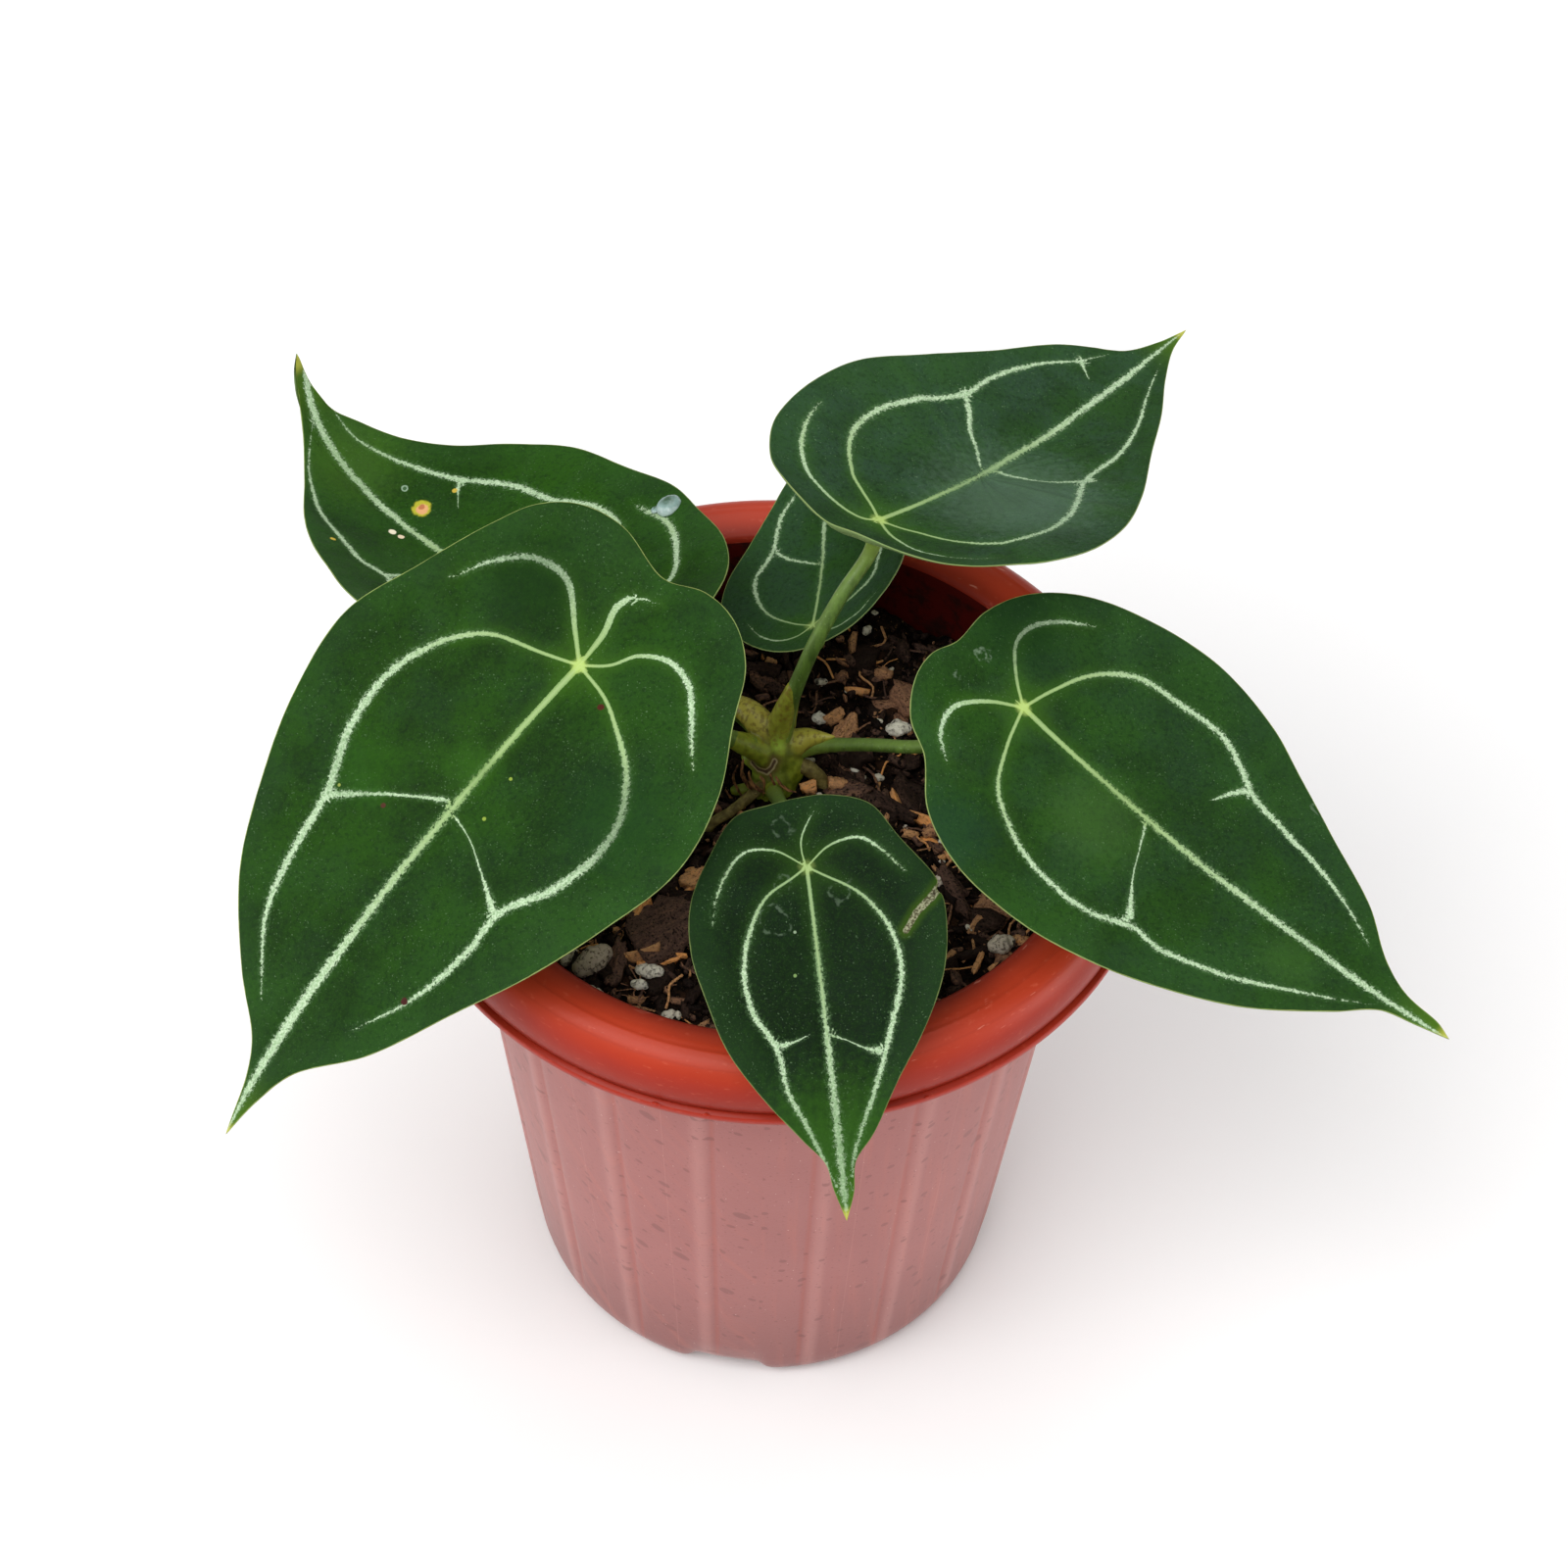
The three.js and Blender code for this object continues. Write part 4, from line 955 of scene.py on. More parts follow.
def blade(side, leaf, finishes):
    sheet = Sheet(leaf)
    length = leaf["length"]
    beyond, aside = leaf.get("point", (0, 0))
    tip = (length + beyond, aside)
    ends = [tip] + leaf["left"] + [(leaf["heel"], 0)] + leaf["right"][::-1] + [tip]
    count, rings = BLADE_DETAIL["large" if length > LARGE_BLADE else "small"]
    outline = smooth_path(ends, count + 1)[:-1]
    centre = np.array([BLADE_CENTRE * length, 0])
    shares = np.concatenate([np.linspace(0, 0.985, rings)[1:], [0.993, 1.0]])
    flat = np.vstack([centre] + [centre + share * (outline - centre) for share in shares])
    u, v = flat.T
    apart, half, outside, fray = vein_fields(leaf, flat)
    loop = np.vstack([outline, outline[:1]])
    edge = beside_line(flat, loop)[0]

    # The veins lie in shallow grooves and the green between them swells a little
    normals = sheet.normals(u, v)
    middle = sheet.points(u, v)
    sunk = -0.28 * np.exp(-(np.maximum(outside, 0) / 1.6) ** 2)
    seed = sum(map(ord, side))
    from_joint = np.hypot(u, v)
    swell = 0.35 * clouds(flat, 15, seed) * np.clip(edge / 8, 0.3, 1) * np.clip((from_joint - 3) / 9, 0, 1)

    # Towards the edge it is faintly quilted, in folds that run outwards
    spoke = np.arctan2(v, u - centre[0])
    spread_out = np.column_stack([spoke * 0.38 * length, 0.12 * np.hypot(v, u - centre[0])])
    outer = np.clip((0.16 * length - edge) / (0.08 * length), leaf.get("pucker", 0), 1)
    quilt = clouds(spread_out, 6.5, seed + 3, 2) * outer * np.clip((from_joint - 6) / 8, 0, 1)
    swell += 0.3 * quilt * np.clip(edge / 2, 0, 1)
    fields = {"blade": np.stack([u, v, edge], 1), "vein": np.stack([apart, half, outside], 1),
              "fray": fray[:, None], "quilt": quilt[:, None]}
    if side in SCARS:
        scar = beside_line(flat, np.array(SCARS[side], float))[0]
        sunk -= 0.35 * np.clip(1.2 - scar, 0, 1)
        fields["scar"] = scar[:, None]
    middle = middle + normals * (sunk + swell)[:, None]
    thin = BLADE_THICKNESS / 2 * np.clip(edge / 0.6, 0.45, 1)
    top = middle + normals * thin[:, None]
    bottom = middle - normals * thin[:, None]

    total = len(flat)
    rows = len(shares)
    upper = fan_faces(0, 1, count) + grid_faces(rows, count, start=1, flip=True)
    lower = [tuple(index + total for index in face[::-1]) for face in upper]
    rim = 1 + (rows - 1) * count
    wall = rim_wall(rim, rim + total, count)
    kinds = [0] * len(upper) + [1] * len(lower) + [2] * len(wall)
    fields = {key: np.tile(values, (2, 1)).squeeze() for key, values in fields.items()}
    add_piece("leaf_" + side, np.vstack([top, bottom]), upper + lower + wall, finishes, kinds,
              fields, replaces=("blade_" + side,))


# A drop of water on the back left blade, a large round and a small one run together: u, v, radius and height
DROP_ON = "back_left"
DROPS = [(5.1, -33.2, 2.8, 2.2), (8, -31.6, 0.9, 0.8)]
DROP_SIDES = 48


def water_drop_finish():
    """Clear water with painted light: pale at its rim and in its glints as a painted reflection, with the
    dark leaf painted in its middle as if seen through it.
    """
    finish = Finish("water_drop_clear", {"Transmission Weight": 0.25, "IOR": 1.33, "Specular IOR Level": 0.9})
    along, across, _ = finish.amounts("drop")
    wander = (finish.noise(1.1, 3) - 0.5) * 0.7
    middle = far_from(along, across, -0.1, -0.12) + wander
    # Painted look through the water: dark in the middle, paler outwards
    colour = finish.paint(middle.between(0.1, 0.8), (70, 100, 76), (150, 180, 174))
    # Painted reflection: pale towards the rim
    colour.coat(middle.between(0.75, 1.0) * 0.8, (206, 226, 222))
    return finish.set(Base_Color=colour, Roughness=0.06 + 0.06 * finish.noise(2, 1))


def water_drop():
    sheet = Sheet(LEAVES[DROP_ON])
    around = np.linspace(0, 2 * np.pi, DROP_SIDES, endpoint=False)
    scallops = 1 + 0.035 * np.abs(np.sin(4.5 * around)) + 0.03 * np.sin(3 * around + 1)
    heap = Heap()
    for middle_u, middle_v, radius, high in DROPS:
        points = []
        spots = []
        for angle in np.radians((0, 8, 18, 30, 44, 58, 72, 84)):
            reach = radius * math.cos(angle) * scallops
            u = middle_u + reach * np.cos(around)
            v = middle_v + reach * np.sin(around)
            points.append(sheet.points(u, v) + sheet.normals(u, v) * (0.2 + high * math.sin(angle)))
            spots.append(np.stack([(u - middle_u) / radius, (v - middle_v) / radius, 0 * u], 1))
        heap.add(np.vstack(points), closed_faces(len(points), DROP_SIDES), drop=np.vstack(spots))
    heap.piece("water_drop", "leaf_green", water_drop_finish())


# Stalks, the crown that they spring from, and its roots

# x, y, z and radius along each stalk, up to the joint of its blade
STALKS = {
    "front_left": [(-1, 12.4, 142, 2.6), (-4.6, 12, 148.4, 2.4), (-9.5, 10.8, 152.5, 2),
                   (-19.1, 4.6, 166, 1.7), (-31.5, -3, 183.5, 1.6)],
    "back_left": [(-0.4, 14, 146, 2.8), (-4.6, 19, 147.6, 2.5), (-9.5, 20.8, 151, 2.1),
                  (-18, 22.6, 156.5, 1.8), (-30, 24.4, 164.6, 1.6)],
    "back_right": [(0.4, 14.2, 148, 2.9), (0.9, 16, 153, 2.6), (3.3, 15.4, 164, 1.75), (6.7, 15.9, 177, 1.6),
                   (12, 19.7, 189, 1.55)],
    "right": [(0.6, 13.6, 143.5, 2.9), (5.4, 14.6, 146, 2.4), (11.8, 12.2, 150, 1.6), (19.9, 6.9, 157, 1.45),
              (29.9, -1.2, 167, 1.45), (40.5, -7.6, 178.5, 1.5)],
    "front": [(-0.3, 9.5, 138.6, 2), (-0.2, 5.4, 141.6, 1.8), (0.9, -2.4, 148.6, 1.5), (3.2, -19.3, 163, 1.4),
              (5.6, -36, 173.5, 1.4)],
    "back": [(0.2, 13.5, 144, 2), (1.9, 18.6, 147.6, 1.6), (3.6, 23.6, 152, 1.1), (5.8, 28.8, 159.5, 1)],
}

# The crown's parts: x, y, z and radius of each lobe, and its tones: lime, ochre and rust
CROWN = [
    ([(-1.2, 6, 116, 2.2), (-0.8, 8.5, 128, 4.2), (-0.4, 10.7, 137, 5), (-0.1, 13.2, 143, 4.4),
      (0.4, 14, 148, 3.2), (0.7, 14.6, 151, 1.8)], (0.05, 0.15, 0.15)),
    ([(2, 12, 137, 2.6), (2.8, 12.4, 141.5, 3.3), (2.4, 13.4, 146, 2.8)], (0.15, 0.2, 0)),
    ([(-0.5, 13.5, 145.5, 3), (-3, 16, 150.2, 3.2), (-6, 18.3, 152.4, 2.9), (-9.4, 20.4, 152.6, 2.2),
      (-13, 21.6, 153.4, 1.4)], (0, 1, 0.35)),
    ([(-0.2, 14, 147, 3.3), (0.4, 15.4, 152.6, 2.7), (1.6, 15.3, 158.5, 2.15), (3, 15.2, 165, 1.5)],
     (0, 0.5, 0.5)),
    ([(0.3, 13.6, 143.5, 3.4), (4, 14.6, 147.4, 3.1), (7.3, 14.3, 149.5, 2.1), (10, 13.3, 151.2, 1.1),
      (11.8, 12.9, 151.9, 0.45)], (0, 0.8, 0.1)),
    ([(-0.5, 12.5, 143, 3), (-3.6, 12.2, 147.2, 2.8), (-7.2, 11.4, 150.6, 2.4), (-10, 10.4, 153.2, 1.8)],
     (0.1, 0.3, 0.25)),
    ([(-1, 12, 141.5, 3.6), (-3.4, 12.4, 142.9, 2.7), (-6, 12.8, 144, 1.6)], (0.7, 0, 0)),
    ([(-0.3, 10, 138, 2.6), (-0.25, 7, 140.4, 2.2), (-0.1, 4, 142.8, 1.4)], (0.35, 0, 0)),
    ([(0.2, 13.5, 144, 2.4), (1.6, 17.6, 146.8, 2), (3.4, 22.8, 151.2, 1.1)], (0.2, 0.4, 0)),
    ([(-4.4, 9.6, 138.2, 1.7), (-6.6, 9, 137.8, 1.5), (-8.6, 8.6, 138, 1.2)], (0.1, 0, 0)),
]

# Papery brown shreds that hang from an old sheath: x, y, z and radius
SHREDS = [
    [(-7.1, 8.4, 148.5, 0.30), (-7.3, 7.6, 145.5, 0.40), (-6.2, 7.0, 142.6, 0.35), (-4.5, 6.6, 140.2, 0.12)],
    [(-5.8, 8.0, 145.1, 0.30), (-5.3, 7.2, 142.8, 0.40), (-3.4, 6.6, 140.9, 0.30), (-1.5, 6.2, 140.2, 0.12)],
    [(-8.3, 8.6, 146.2, 0.25), (-9.1, 8.0, 143.2, 0.35), (-8.2, 7.4, 140.3, 0.30), (-6.9, 7.0, 137.6, 0.12)],
    [(0.0, 6.5, 145.6, 0.25), (1.1, 6.0, 143.6, 0.35), (3.0, 5.8, 142.0, 0.25), (4.3, 5.6, 141.9, 0.10)],
    [(-3.3, 7.4, 144.6, 0.25), (-2.4, 6.6, 143.0, 0.30), (-2.6, 6.0, 139.7, 0.12)],
    [(-1.2, 7.0, 145.9, 0.25), (-0.6, 6.4, 144.0, 0.30), (1.2, 5.8, 141.2, 0.12)],
    [(-10.7, 7.6, 139.3, 0.20), (-9.0, 6.8, 137.0, 0.25), (-6.0, 6.2, 136.3, 0.12)],
]

# The fresh green middle of the crown and its reach
CROWN_HEART = (0.4, 10.6, 150.4)
CROWN_HEART_REACH = 2.6
CROWN_VOXEL = 0.32

# An old leaf's scar on the crown's front, as x and z
CROWN_SCAR = [(-5.6, 145.8), (-5.1, 144.6), (-3.8, 143.6), (-2.1, 143.8), (-0.9, 145.2), (-0.4, 146.6)]

ROOTS = {
    "right": [(2.5, 12, 141.5, 1.6), (5, 12.2, 142.6, 1.75), (7.5, 11.6, 141.8, 1.75),
              (9.8, 10.8, 138.7, 1.7), (11.6, 9.3, 134, 1.6), (12.4, 7.6, 128, 1.2)],
    "left": [(-2, 9.5, 140.5, 1.3), (-5.6, 5.6, 139.6, 1.25), (-9.5, 2.2, 138.6, 1.15),
             (-13.6, -0.6, 137.4, 1.15), (-17, -4.5, 133, 0.9)],
}


def tube(path, sides, count, rough=0.0, seed=1, wide=1.0, blunt=1.0):
    """A closed tube along x, y, z and radius, rounded at both ends."""
    line = smooth_path(path, count)
    middle = line[:, :3]
    radius = line[:, 3].copy()
    step = np.linalg.norm(middle[1] - middle[0])
    ahead = np.gradient(middle, axis=0)
    ahead /= np.linalg.norm(ahead, axis=1, keepdims=True)
    side = np.cross(ahead[0], (0.3, 0.2, 1.0))
    side /= np.linalg.norm(side)

    def cap(end, sign, degrees):
        reach = min(radius[end], 4 * step) * (blunt if sign > 0 else 1)
        for turn in np.radians(degrees):
            centre = middle[end] + sign * ahead[end] * reach * math.sin(turn)
            yield centre, radius[end] * math.cos(turn), end

    rings = [*cap(0, -1, (80, 60, 40, 20)), *zip(middle, radius, range(count)), *cap(-1, 1, (20, 40, 60, 80))]
    sides_at = []
    for direction in ahead:
        side = side - direction * (side @ direction)
        side /= np.linalg.norm(side)
        sides_at.append(side)
    around = np.linspace(0, 2 * np.pi, sides, endpoint=False)
    points = []
    for centre, size, index in rings:
        first = sides_at[index]
        second = np.cross(ahead[index], first)
        lump = 1.0
        if rough:
            spots = np.stack([np.cos(around) * 3 + index * 0.7, np.sin(around) * 3 + index * 0.45], 1)
            lump = 1 + rough * clouds(spots, 2.0, seed, 3)
        offset = np.outer(np.cos(around) * wide * lump, first) + np.outer(np.sin(around) * lump, second)
        points.append(centre + size * offset)
    return np.vstack(points), closed_faces(len(rings), sides)


# The way that light is taken to come from: the side of a stalk that faces it gets a painted highlight
LIT_FROM = (-0.35, 0.2, 0.9)


def stalk_finish():
    """Smooth green with a greyish bloom, yellower towards the blade, and a painted highlight on the side
    facing LIT_FROM.
    """
    finish = Finish("stalk_green_skin", {"Specular IOR Level": 0.4})
    share = finish.amount("share")
    side = finish.amount("upper")
    length = finish.noise(1.5, 4, place=finish.place(stretch=(1, 1, 0.2)), rough=0.6)
    colour = finish.paint(length.between(0.3, 0.7), (58, 82, 26), (90, 120, 44))
    # Painted highlight on the side that faces LIT_FROM
    colour.coat(side.between(-0.1, 0.9) * 0.4, (124, 152, 76))
    colour.coat(share.between(0.7, 1.0) * 0.75, (134, 160, 48))
    colour.coat(share.between(0.3, 0.08) * 0.6, (138, 156, 58))
    colour.coat(finish.noise(0.7, 2).between(0.62, 0.75) * 0.35, (168, 190, 136))
    relief = finish.noise(0.9, 2)
    return finish.set(Base_Color=colour, Roughness=0.4 + 0.12 * length, Normal=finish.bump(relief, 0.05))


def stalks():
    finish = stalk_finish()
    sides = 24
    for side, path in STALKS.items():
        sheet = Sheet(LEAVES[side])
        radius = path[-1][3]
        below = [(*(sheet.joint - sheet.up * depth), size) for depth, size in
                 ((4.5 * radius, radius), (1.8 * radius, 1.12 * radius), (0.95, 1.1 * radius))]
        points, faces = tube([*path, *below], sides, 56, blunt=0.25)
        rows = len(points) // sides
        share = np.repeat(np.linspace(0, 1, rows), sides)
        heap = Heap()
        centre = np.repeat(points.reshape(rows, sides, 3).mean(1), sides, axis=0)
        out = points - centre
        out /= np.linalg.norm(out, axis=1, keepdims=True) + 1e-9
        # upper: how far each point faces LIT_FROM, for the painted highlight
        heap.add(points, faces, share=share, upper=out @ np.array(LIT_FROM))
        heap.piece("stalk_" + side, "petiole_green", finish, replaces=("petiole_" + side,))


def crown_finish():
    """Olive and lime green, ochre on the sheaths, with rusty flecks, painted shade in the seams between lobes
    and a soft gloss.
    """
    finish = Finish("crown_olive_skin", {"Specular IOR Level": 0.5})
    lime, ochre, rust = finish.amounts("tones")
    mottle = finish.noise(1.6, 3)
    colour = finish.paint(mottle.between(0.3, 0.7), (106, 120, 20), (146, 160, 44))
    colour.coat(lime.between(0.1, 0.9), (176, 206, 72))
    colour.coat(ochre.between(0.2, 1.0) * (1 - lime.between(0.2, 0.7)), (182, 172, 66))
    flecks = finish.noise(1.1, 3, shift=5).between(0.52, 0.66)
    colour.coat((rust * 1.1 * flecks).at_most(0.7), (122, 80, 32))
    pale = finish.noise(0.8, 2, shift=21).between(0.66, 0.78)
    colour.coat(pale * 0.4, (184, 190, 110))
    grooves = finish.noise(0.9, 3, place=finish.place(stretch=(1, 1, 0.3)), shift=3).between(0.5, 0.36)
    colour.coat(grooves * ochre.between(0.2, 0.8) * 0.6, (96, 74, 24))
    # Painted shade in the seams between lobes
    colour.coat(finish.amount("seam").between(0.2, 0.6) * 0.6, (62, 72, 12))
    scar = finish.amount("scar") + (finish.noise(0.9, 3) - 0.5) * 0.35
    colour.coat(scar.between(2.2, 0.8) * 0.6, (96, 64, 34))
    colour.coat(scar.between(0.75, 0.5) * 0.8, (186, 170, 130))
    colour.coat(scar.between(0.36, 0.24) * 0.9, (70, 42, 24))
    relief = finish.noise(0.8, 3) * 0.5 + mottle
    return finish.set(Base_Color=colour, Roughness=0.34 + 0.2 * mottle, Normal=finish.bump(relief, 0.15))


def crown():
    lumps = Heap()
    middles = []
    tones = []
    owners = []
    for seed, (path, tone) in enumerate(CROWN):
        points, faces = tube(path, 16, 14, rough=0.05, seed=seed)
        lumps.add(points, faces)
        line = smooth_path(path, 12)
        middles.append(line)
        tones += [tone] * len(line)
        owners += [seed] * len(line)
    middles = np.vstack(middles)
    owners = np.array(owners)
    tones = np.array(tones, float)
    mesh = bpy.data.meshes.new("lumps")
    mesh.from_pydata(np.vstack(lumps.points).tolist(), [], lumps.faces)
    draft = add_object("lumps", mesh)
    merge = draft.modifiers.new("merge", "REMESH")
    merge.mode = "VOXEL"
    merge.voxel_size = CROWN_VOXEL
    soften = draft.modifiers.new("soften", "SMOOTH")
    soften.factor = 0.6
    soften.iterations = 6
    bpy.context.view_layer.update()
    merged = draft.evaluated_get(bpy.context.evaluated_depsgraph_get()).to_mesh()
    points = np.array([vertex.co[:] for vertex in merged.vertices])
    faces = [tuple(face.vertices) for face in merged.polygons]
    bpy.data.objects.remove(draft)
    away = np.linalg.norm(points[:, None] - middles[None, :, :3], axis=2) / middles[None, :, 3]
    near = np.exp(-6 * (away - away.min(1, keepdims=True)))
    shares = near / near.sum(1, keepdims=True)
    apart = np.stack([shares[:, owners == owner].sum(1) for owner in range(len(CROWN))], 1)
    # How far each point lies in a seam between lobes, for painted shade
    seam = 1 - apart.max(1)
    scar = beside_line(points[:, [0, 2]], np.array(CROWN_SCAR, float))[0] + np.clip(points[:, 1] - 11, 0, 9)
    toned = shares @ tones
    heart = np.linalg.norm(points - CROWN_HEART, axis=1) / CROWN_HEART_REACH
    toned[:, 0] = np.maximum(toned[:, 0], 0.95 * np.exp(-(heart ** 2)))
    fields = {"tones": toned, "scar": scar, "seam": seam * (1 - np.exp(-(heart ** 2)))}
    add_piece("crown", points, faces, [crown_finish()], attributes=fields, replaces=("stem",))


def root_finish():
    finish = Finish("root_tan_skin", {"Specular IOR Level": 0.3})
    mottle = finish.noise(1.3, 4)
    colour = finish.paint(mottle.between(0.3, 0.7), (84, 72, 32), (128, 116, 62))
    colour.coat(finish.noise(0.6, 2).between(0.6, 0.75) * 0.5, (168, 150, 104))
    return finish.set(Base_Color=colour, Roughness=0.6 + 0.15 * mottle, Normal=finish.bump(mottle, 0.3))


def shred_finish():
    finish = Finish("papery_shreds", {"Specular IOR Level": 0.3})
    streaks = finish.noise(0.8, 4, place=finish.place(stretch=(1, 1, 0.4)))
    colour = finish.paint(streaks.between(0.35, 0.65), (72, 42, 24), (160, 112, 70))
    return finish.set(Base_Color=colour, Roughness=0.55 + 0.2 * streaks, Normal=finish.bump(streaks, 0.2))


def shreds():
    finish = shred_finish()
    heap = Heap()
    for seed, path in enumerate(SHREDS):
        thin = [(x, y, z, 0.6 * size) for x, y, z, size in path]
        heap.add(*tube(thin, 10, 18, rough=0.25, seed=80 + seed, wide=3))
    heap.piece("shreds_on_crown", "stem_green", finish)


def roots():
    finish = root_finish()
    for seed, (side, path) in enumerate(ROOTS.items()):
        points, faces = tube(path, 20, 44, rough=0.09, seed=50 + seed)
        add_piece("aerial_root_" + side, points, faces, [finish], replaces=("root_" + side,))


# The potting mix: dark crumbs with bark, fibres, perlite and pumice

SOIL_LEVEL = 137
SOIL_BUMP = 1.3
SOIL_RADIUS = 64.4
SOIL_SIDES = 380
# How the soil goes on below its top: radius and height
SOIL_BODY = [(SOIL_RADIUS, 130), (49.2, 8.4), (46, 5.6), (31.4, 5.5), (29, 2.5)]
# Pieces strewn at random
BARK_COUNT = 2400
FIBRE_COUNT = 420
GRAIN_COUNT = 60
# The middle of the crown and the bare ground round it
CROWN_PLACE = (0.5, 10)
CROWN_CLEAR = 7


def ground(x, y):
    return (SOIL_LEVEL + SOIL_BUMP * np.sin(x / 9 + 0.7) * np.cos(y / 11 - 0.4)
            + 0.6 * SOIL_BUMP * np.sin(x / 4.3 - y / 5.1 + 1.9))


def mix_finish():
    """Nearly black damp peat with warm crumbs."""
    finish = Finish("potting_mix_peat", {"Specular IOR Level": 0.08})
    crumbs = finish.noise(1.8, 4, rough=0.65)
    colour = finish.paint(crumbs.between(0.4, 0.7), (9, 6, 5), (46, 32, 25))
    warm = finish.noise(3.5, 3, shift=30).between(0.58, 0.7)
    colour.coat(warm * 0.6, (70, 46, 32))
    crumb = finish.noise(0.8, 3, shift=60, rough=0.7).between(0.62, 0.7)
    colour.coat(crumb * 0.8, (150, 112, 78))
    relief = finish.noise(0.7, 4, rough=0.7)
    return finish.set(Base_Color=colour, Roughness=0.75 + 0.2 * crumbs, Normal=finish.bump(relief, 0.8))


def bark_finish():
    """Bark and wood from black-brown to tan and orange, streaked along the grain."""
    finish = Finish("bark_pieces", {"Specular IOR Level": 0.1})
    tint = finish.amount("tint")
    streaks = finish.noise(0.8, 4, place=finish.place("grain", (0.2, 1, 1)), rough=0.6)
    stops = [(0.0, rgb(18, 12, 10)), (0.3, rgb(50, 36, 30)), (0.5, rgb(96, 72, 62)),
             (0.68, rgb(160, 116, 88)), (0.85, rgb(216, 160, 110)), (1.0, rgb(246, 166, 96))]
    speckle = finish.noise(0.45, 3, rough=0.7) - 0.5
    colour = finish.ramp(tint + (streaks - 0.5) * 0.4 + speckle * 0.36, stops)
    pits = finish.noise(0.5, 2).between(0.34, 0.44)
    colour.coat((1 - pits) * tint.between(1.3, 0.3), (20, 13, 10))
    relief = finish.bump(streaks + pits * 0.3, 0.5)
    return finish.set(Base_Color=colour, Roughness=0.6 + 0.25 * streaks, Normal=relief)


def perlite_finish():
    """White to grey-tan grains, full of small dark pits."""
    finish = Finish("perlite_grains", {"Specular IOR Level": 0.2})
    tint = finish.amount("tint")
    colour = finish.paint(tint, (244, 238, 222), (172, 142, 114))
    colour.coat(finish.noise(1.4, 3).between(0.5, 0.75) * 0.4, (150, 136, 118))
    pits = finish.noise(0.75, 3, rough=0.7).between(0.46, 0.36)
    holes = finish.noise(2.2, 3, shift=4, rough=0.6).between(0.4, 0.33)
    colour.coat(pits * (0.45 + 0.45 * tint), (74, 56, 44))
    colour.coat(holes * 0.8, (36, 28, 24))
    relief = finish.noise(0.6, 3) * 0.6 - pits * 0.5 - holes
    return finish.set(Base_Color=colour, Roughness=0.8 + 0.1 * tint, Normal=finish.bump(relief, 0.5))


def flake(draw, size, rings=3, sides=14, rugged=0.3):
    """A rough flat piece, lying on its side at the origin, with its grain along x."""
    long, wide, thick = size
    around = np.linspace(0, 2 * np.pi, sides, endpoint=False)
    square = (np.abs(np.cos(around)) ** 3 + np.abs(np.sin(around)) ** 3) ** (-1 / 3)
    reach = square * (1 + rugged * draw.uniform(-1, 1, sides))
    ring = np.stack([reach * np.cos(around) * long / 2, reach * np.sin(around) * wide / 2, 0 * reach], 1)
    flat = np.vstack([np.zeros((1, 3))] + [share * ring for share in np.linspace(0, 1, rings + 1)[1:]])
    ridges = clouds(flat * (0.25, 1.0, 1) + draw.uniform(0, 50, 3), 1.6, int(draw.integers(900)), 3)
    along, across, _ = flat.T
    bow = -0.5 * thick * (2 * across / wide) ** 2
    bow = bow + draw.uniform(-0.25, 0.25) * thick * (2 * along / long) ** 2
    top = flat + np.outer(thick / 2 + 0.35 * thick * ridges + bow, (0, 0, 1))
    low = flat * (0.92, 0.92, 1) + np.outer(bow - thick / 2 + 0.2 * thick * ridges, (0, 0, 1))
    total = len(flat)
    upper = fan_faces(0, 1, sides) + grid_faces(rings, sides, start=1, flip=True)
    lower = [tuple(index + total for index in face[::-1]) for face in upper]
    rim = 1 + (rings - 1) * sides
    return np.vstack([top, low]), upper + lower + rim_wall(rim, rim + total, sides)


def laid(points, draw, x, y, turn, tilt=0.25, sink=0.0):
    """Turned about, tipped a little and set down on the ground."""
    tip_x, tip_y = draw.uniform(-tilt, tilt, 2)
    c, s = math.cos(turn), math.sin(turn)
    spin = np.array([(c, -s, 0), (s, c, 0), (0, 0, 1)])
    lean = np.array([(1, 0, tip_x), (0, 1, tip_y), (-tip_x, -tip_y, 1)])
    return points @ lean.T @ spin.T + (x, y, float(ground(x, y)) + sink)


# Pieces that catch the eye: x, y, length, width, thickness, turn in degrees and tint
CHIPS = [
    (-22, -30, 18, 13, 2.4, 40, 0.47), (-27.6, -25.6, 6.6, 3.6, 3.6, 60, 0.95),
    (-31.6, -39.6, 11, 3.8, 2.2, 82, 0.5), (-30, -24, 8, 5, 2, 30, 0.7),
    (-37, -24, 8, 5, 2, 20, 0.66), (-26.4, -37, 7.4, 2, 3.2, 12, 0.84), (-23, -38, 9, 1.6, 1.2, 15, 0.95),
    (-20, -36, 6, 1.2, 1, -10, 0.97), (-13, -22, 7, 3.6, 2, 65, 0.72), (-14, -18, 6, 3, 1.6, 55, 0.96),
    (-16, -16, 8, 4, 2, 40, 0.8), (14.5, 26, 7, 4, 2.2, 60, 0.76), (12, 30.5, 5, 2.6, 2, 40, 0.8),
    (17, 38, 5.4, 1.3, 1.4, -12, 0.92), (28, 33, 9, 6, 2.6, -60, 0.62), (32, 37, 11, 2, 1.4, 75, 0.9),
    (21, 8, 22, 3.4, 2.4, -38, 0.3), (45, 12, 10, 5, 2.4, 70, 0.7), (13, 10, 4, 3.4, 2, 0, 0.8),
    (7, 8, 3.4, 3, 1.8, 20, 0.88), (38, -18, 14, 3, 2, -65, 0.45), (36, 2, 11, 4, 2.4, 30, 0.72),
    (30, 3, 7, 2, 1.4, -20, 0.95), (26, 6, 7, 2, 1.4, -70, 0.9), (48, -18, 14, 9, 2.6, 60, 0.68),
    (43, -36, 5.5, 1.4, 1, 70, 0.86), (-12, -28, 9, 4, 2, 60, 0.5), (28, -10, 10, 4, 2.2, -70, 0.5),
]

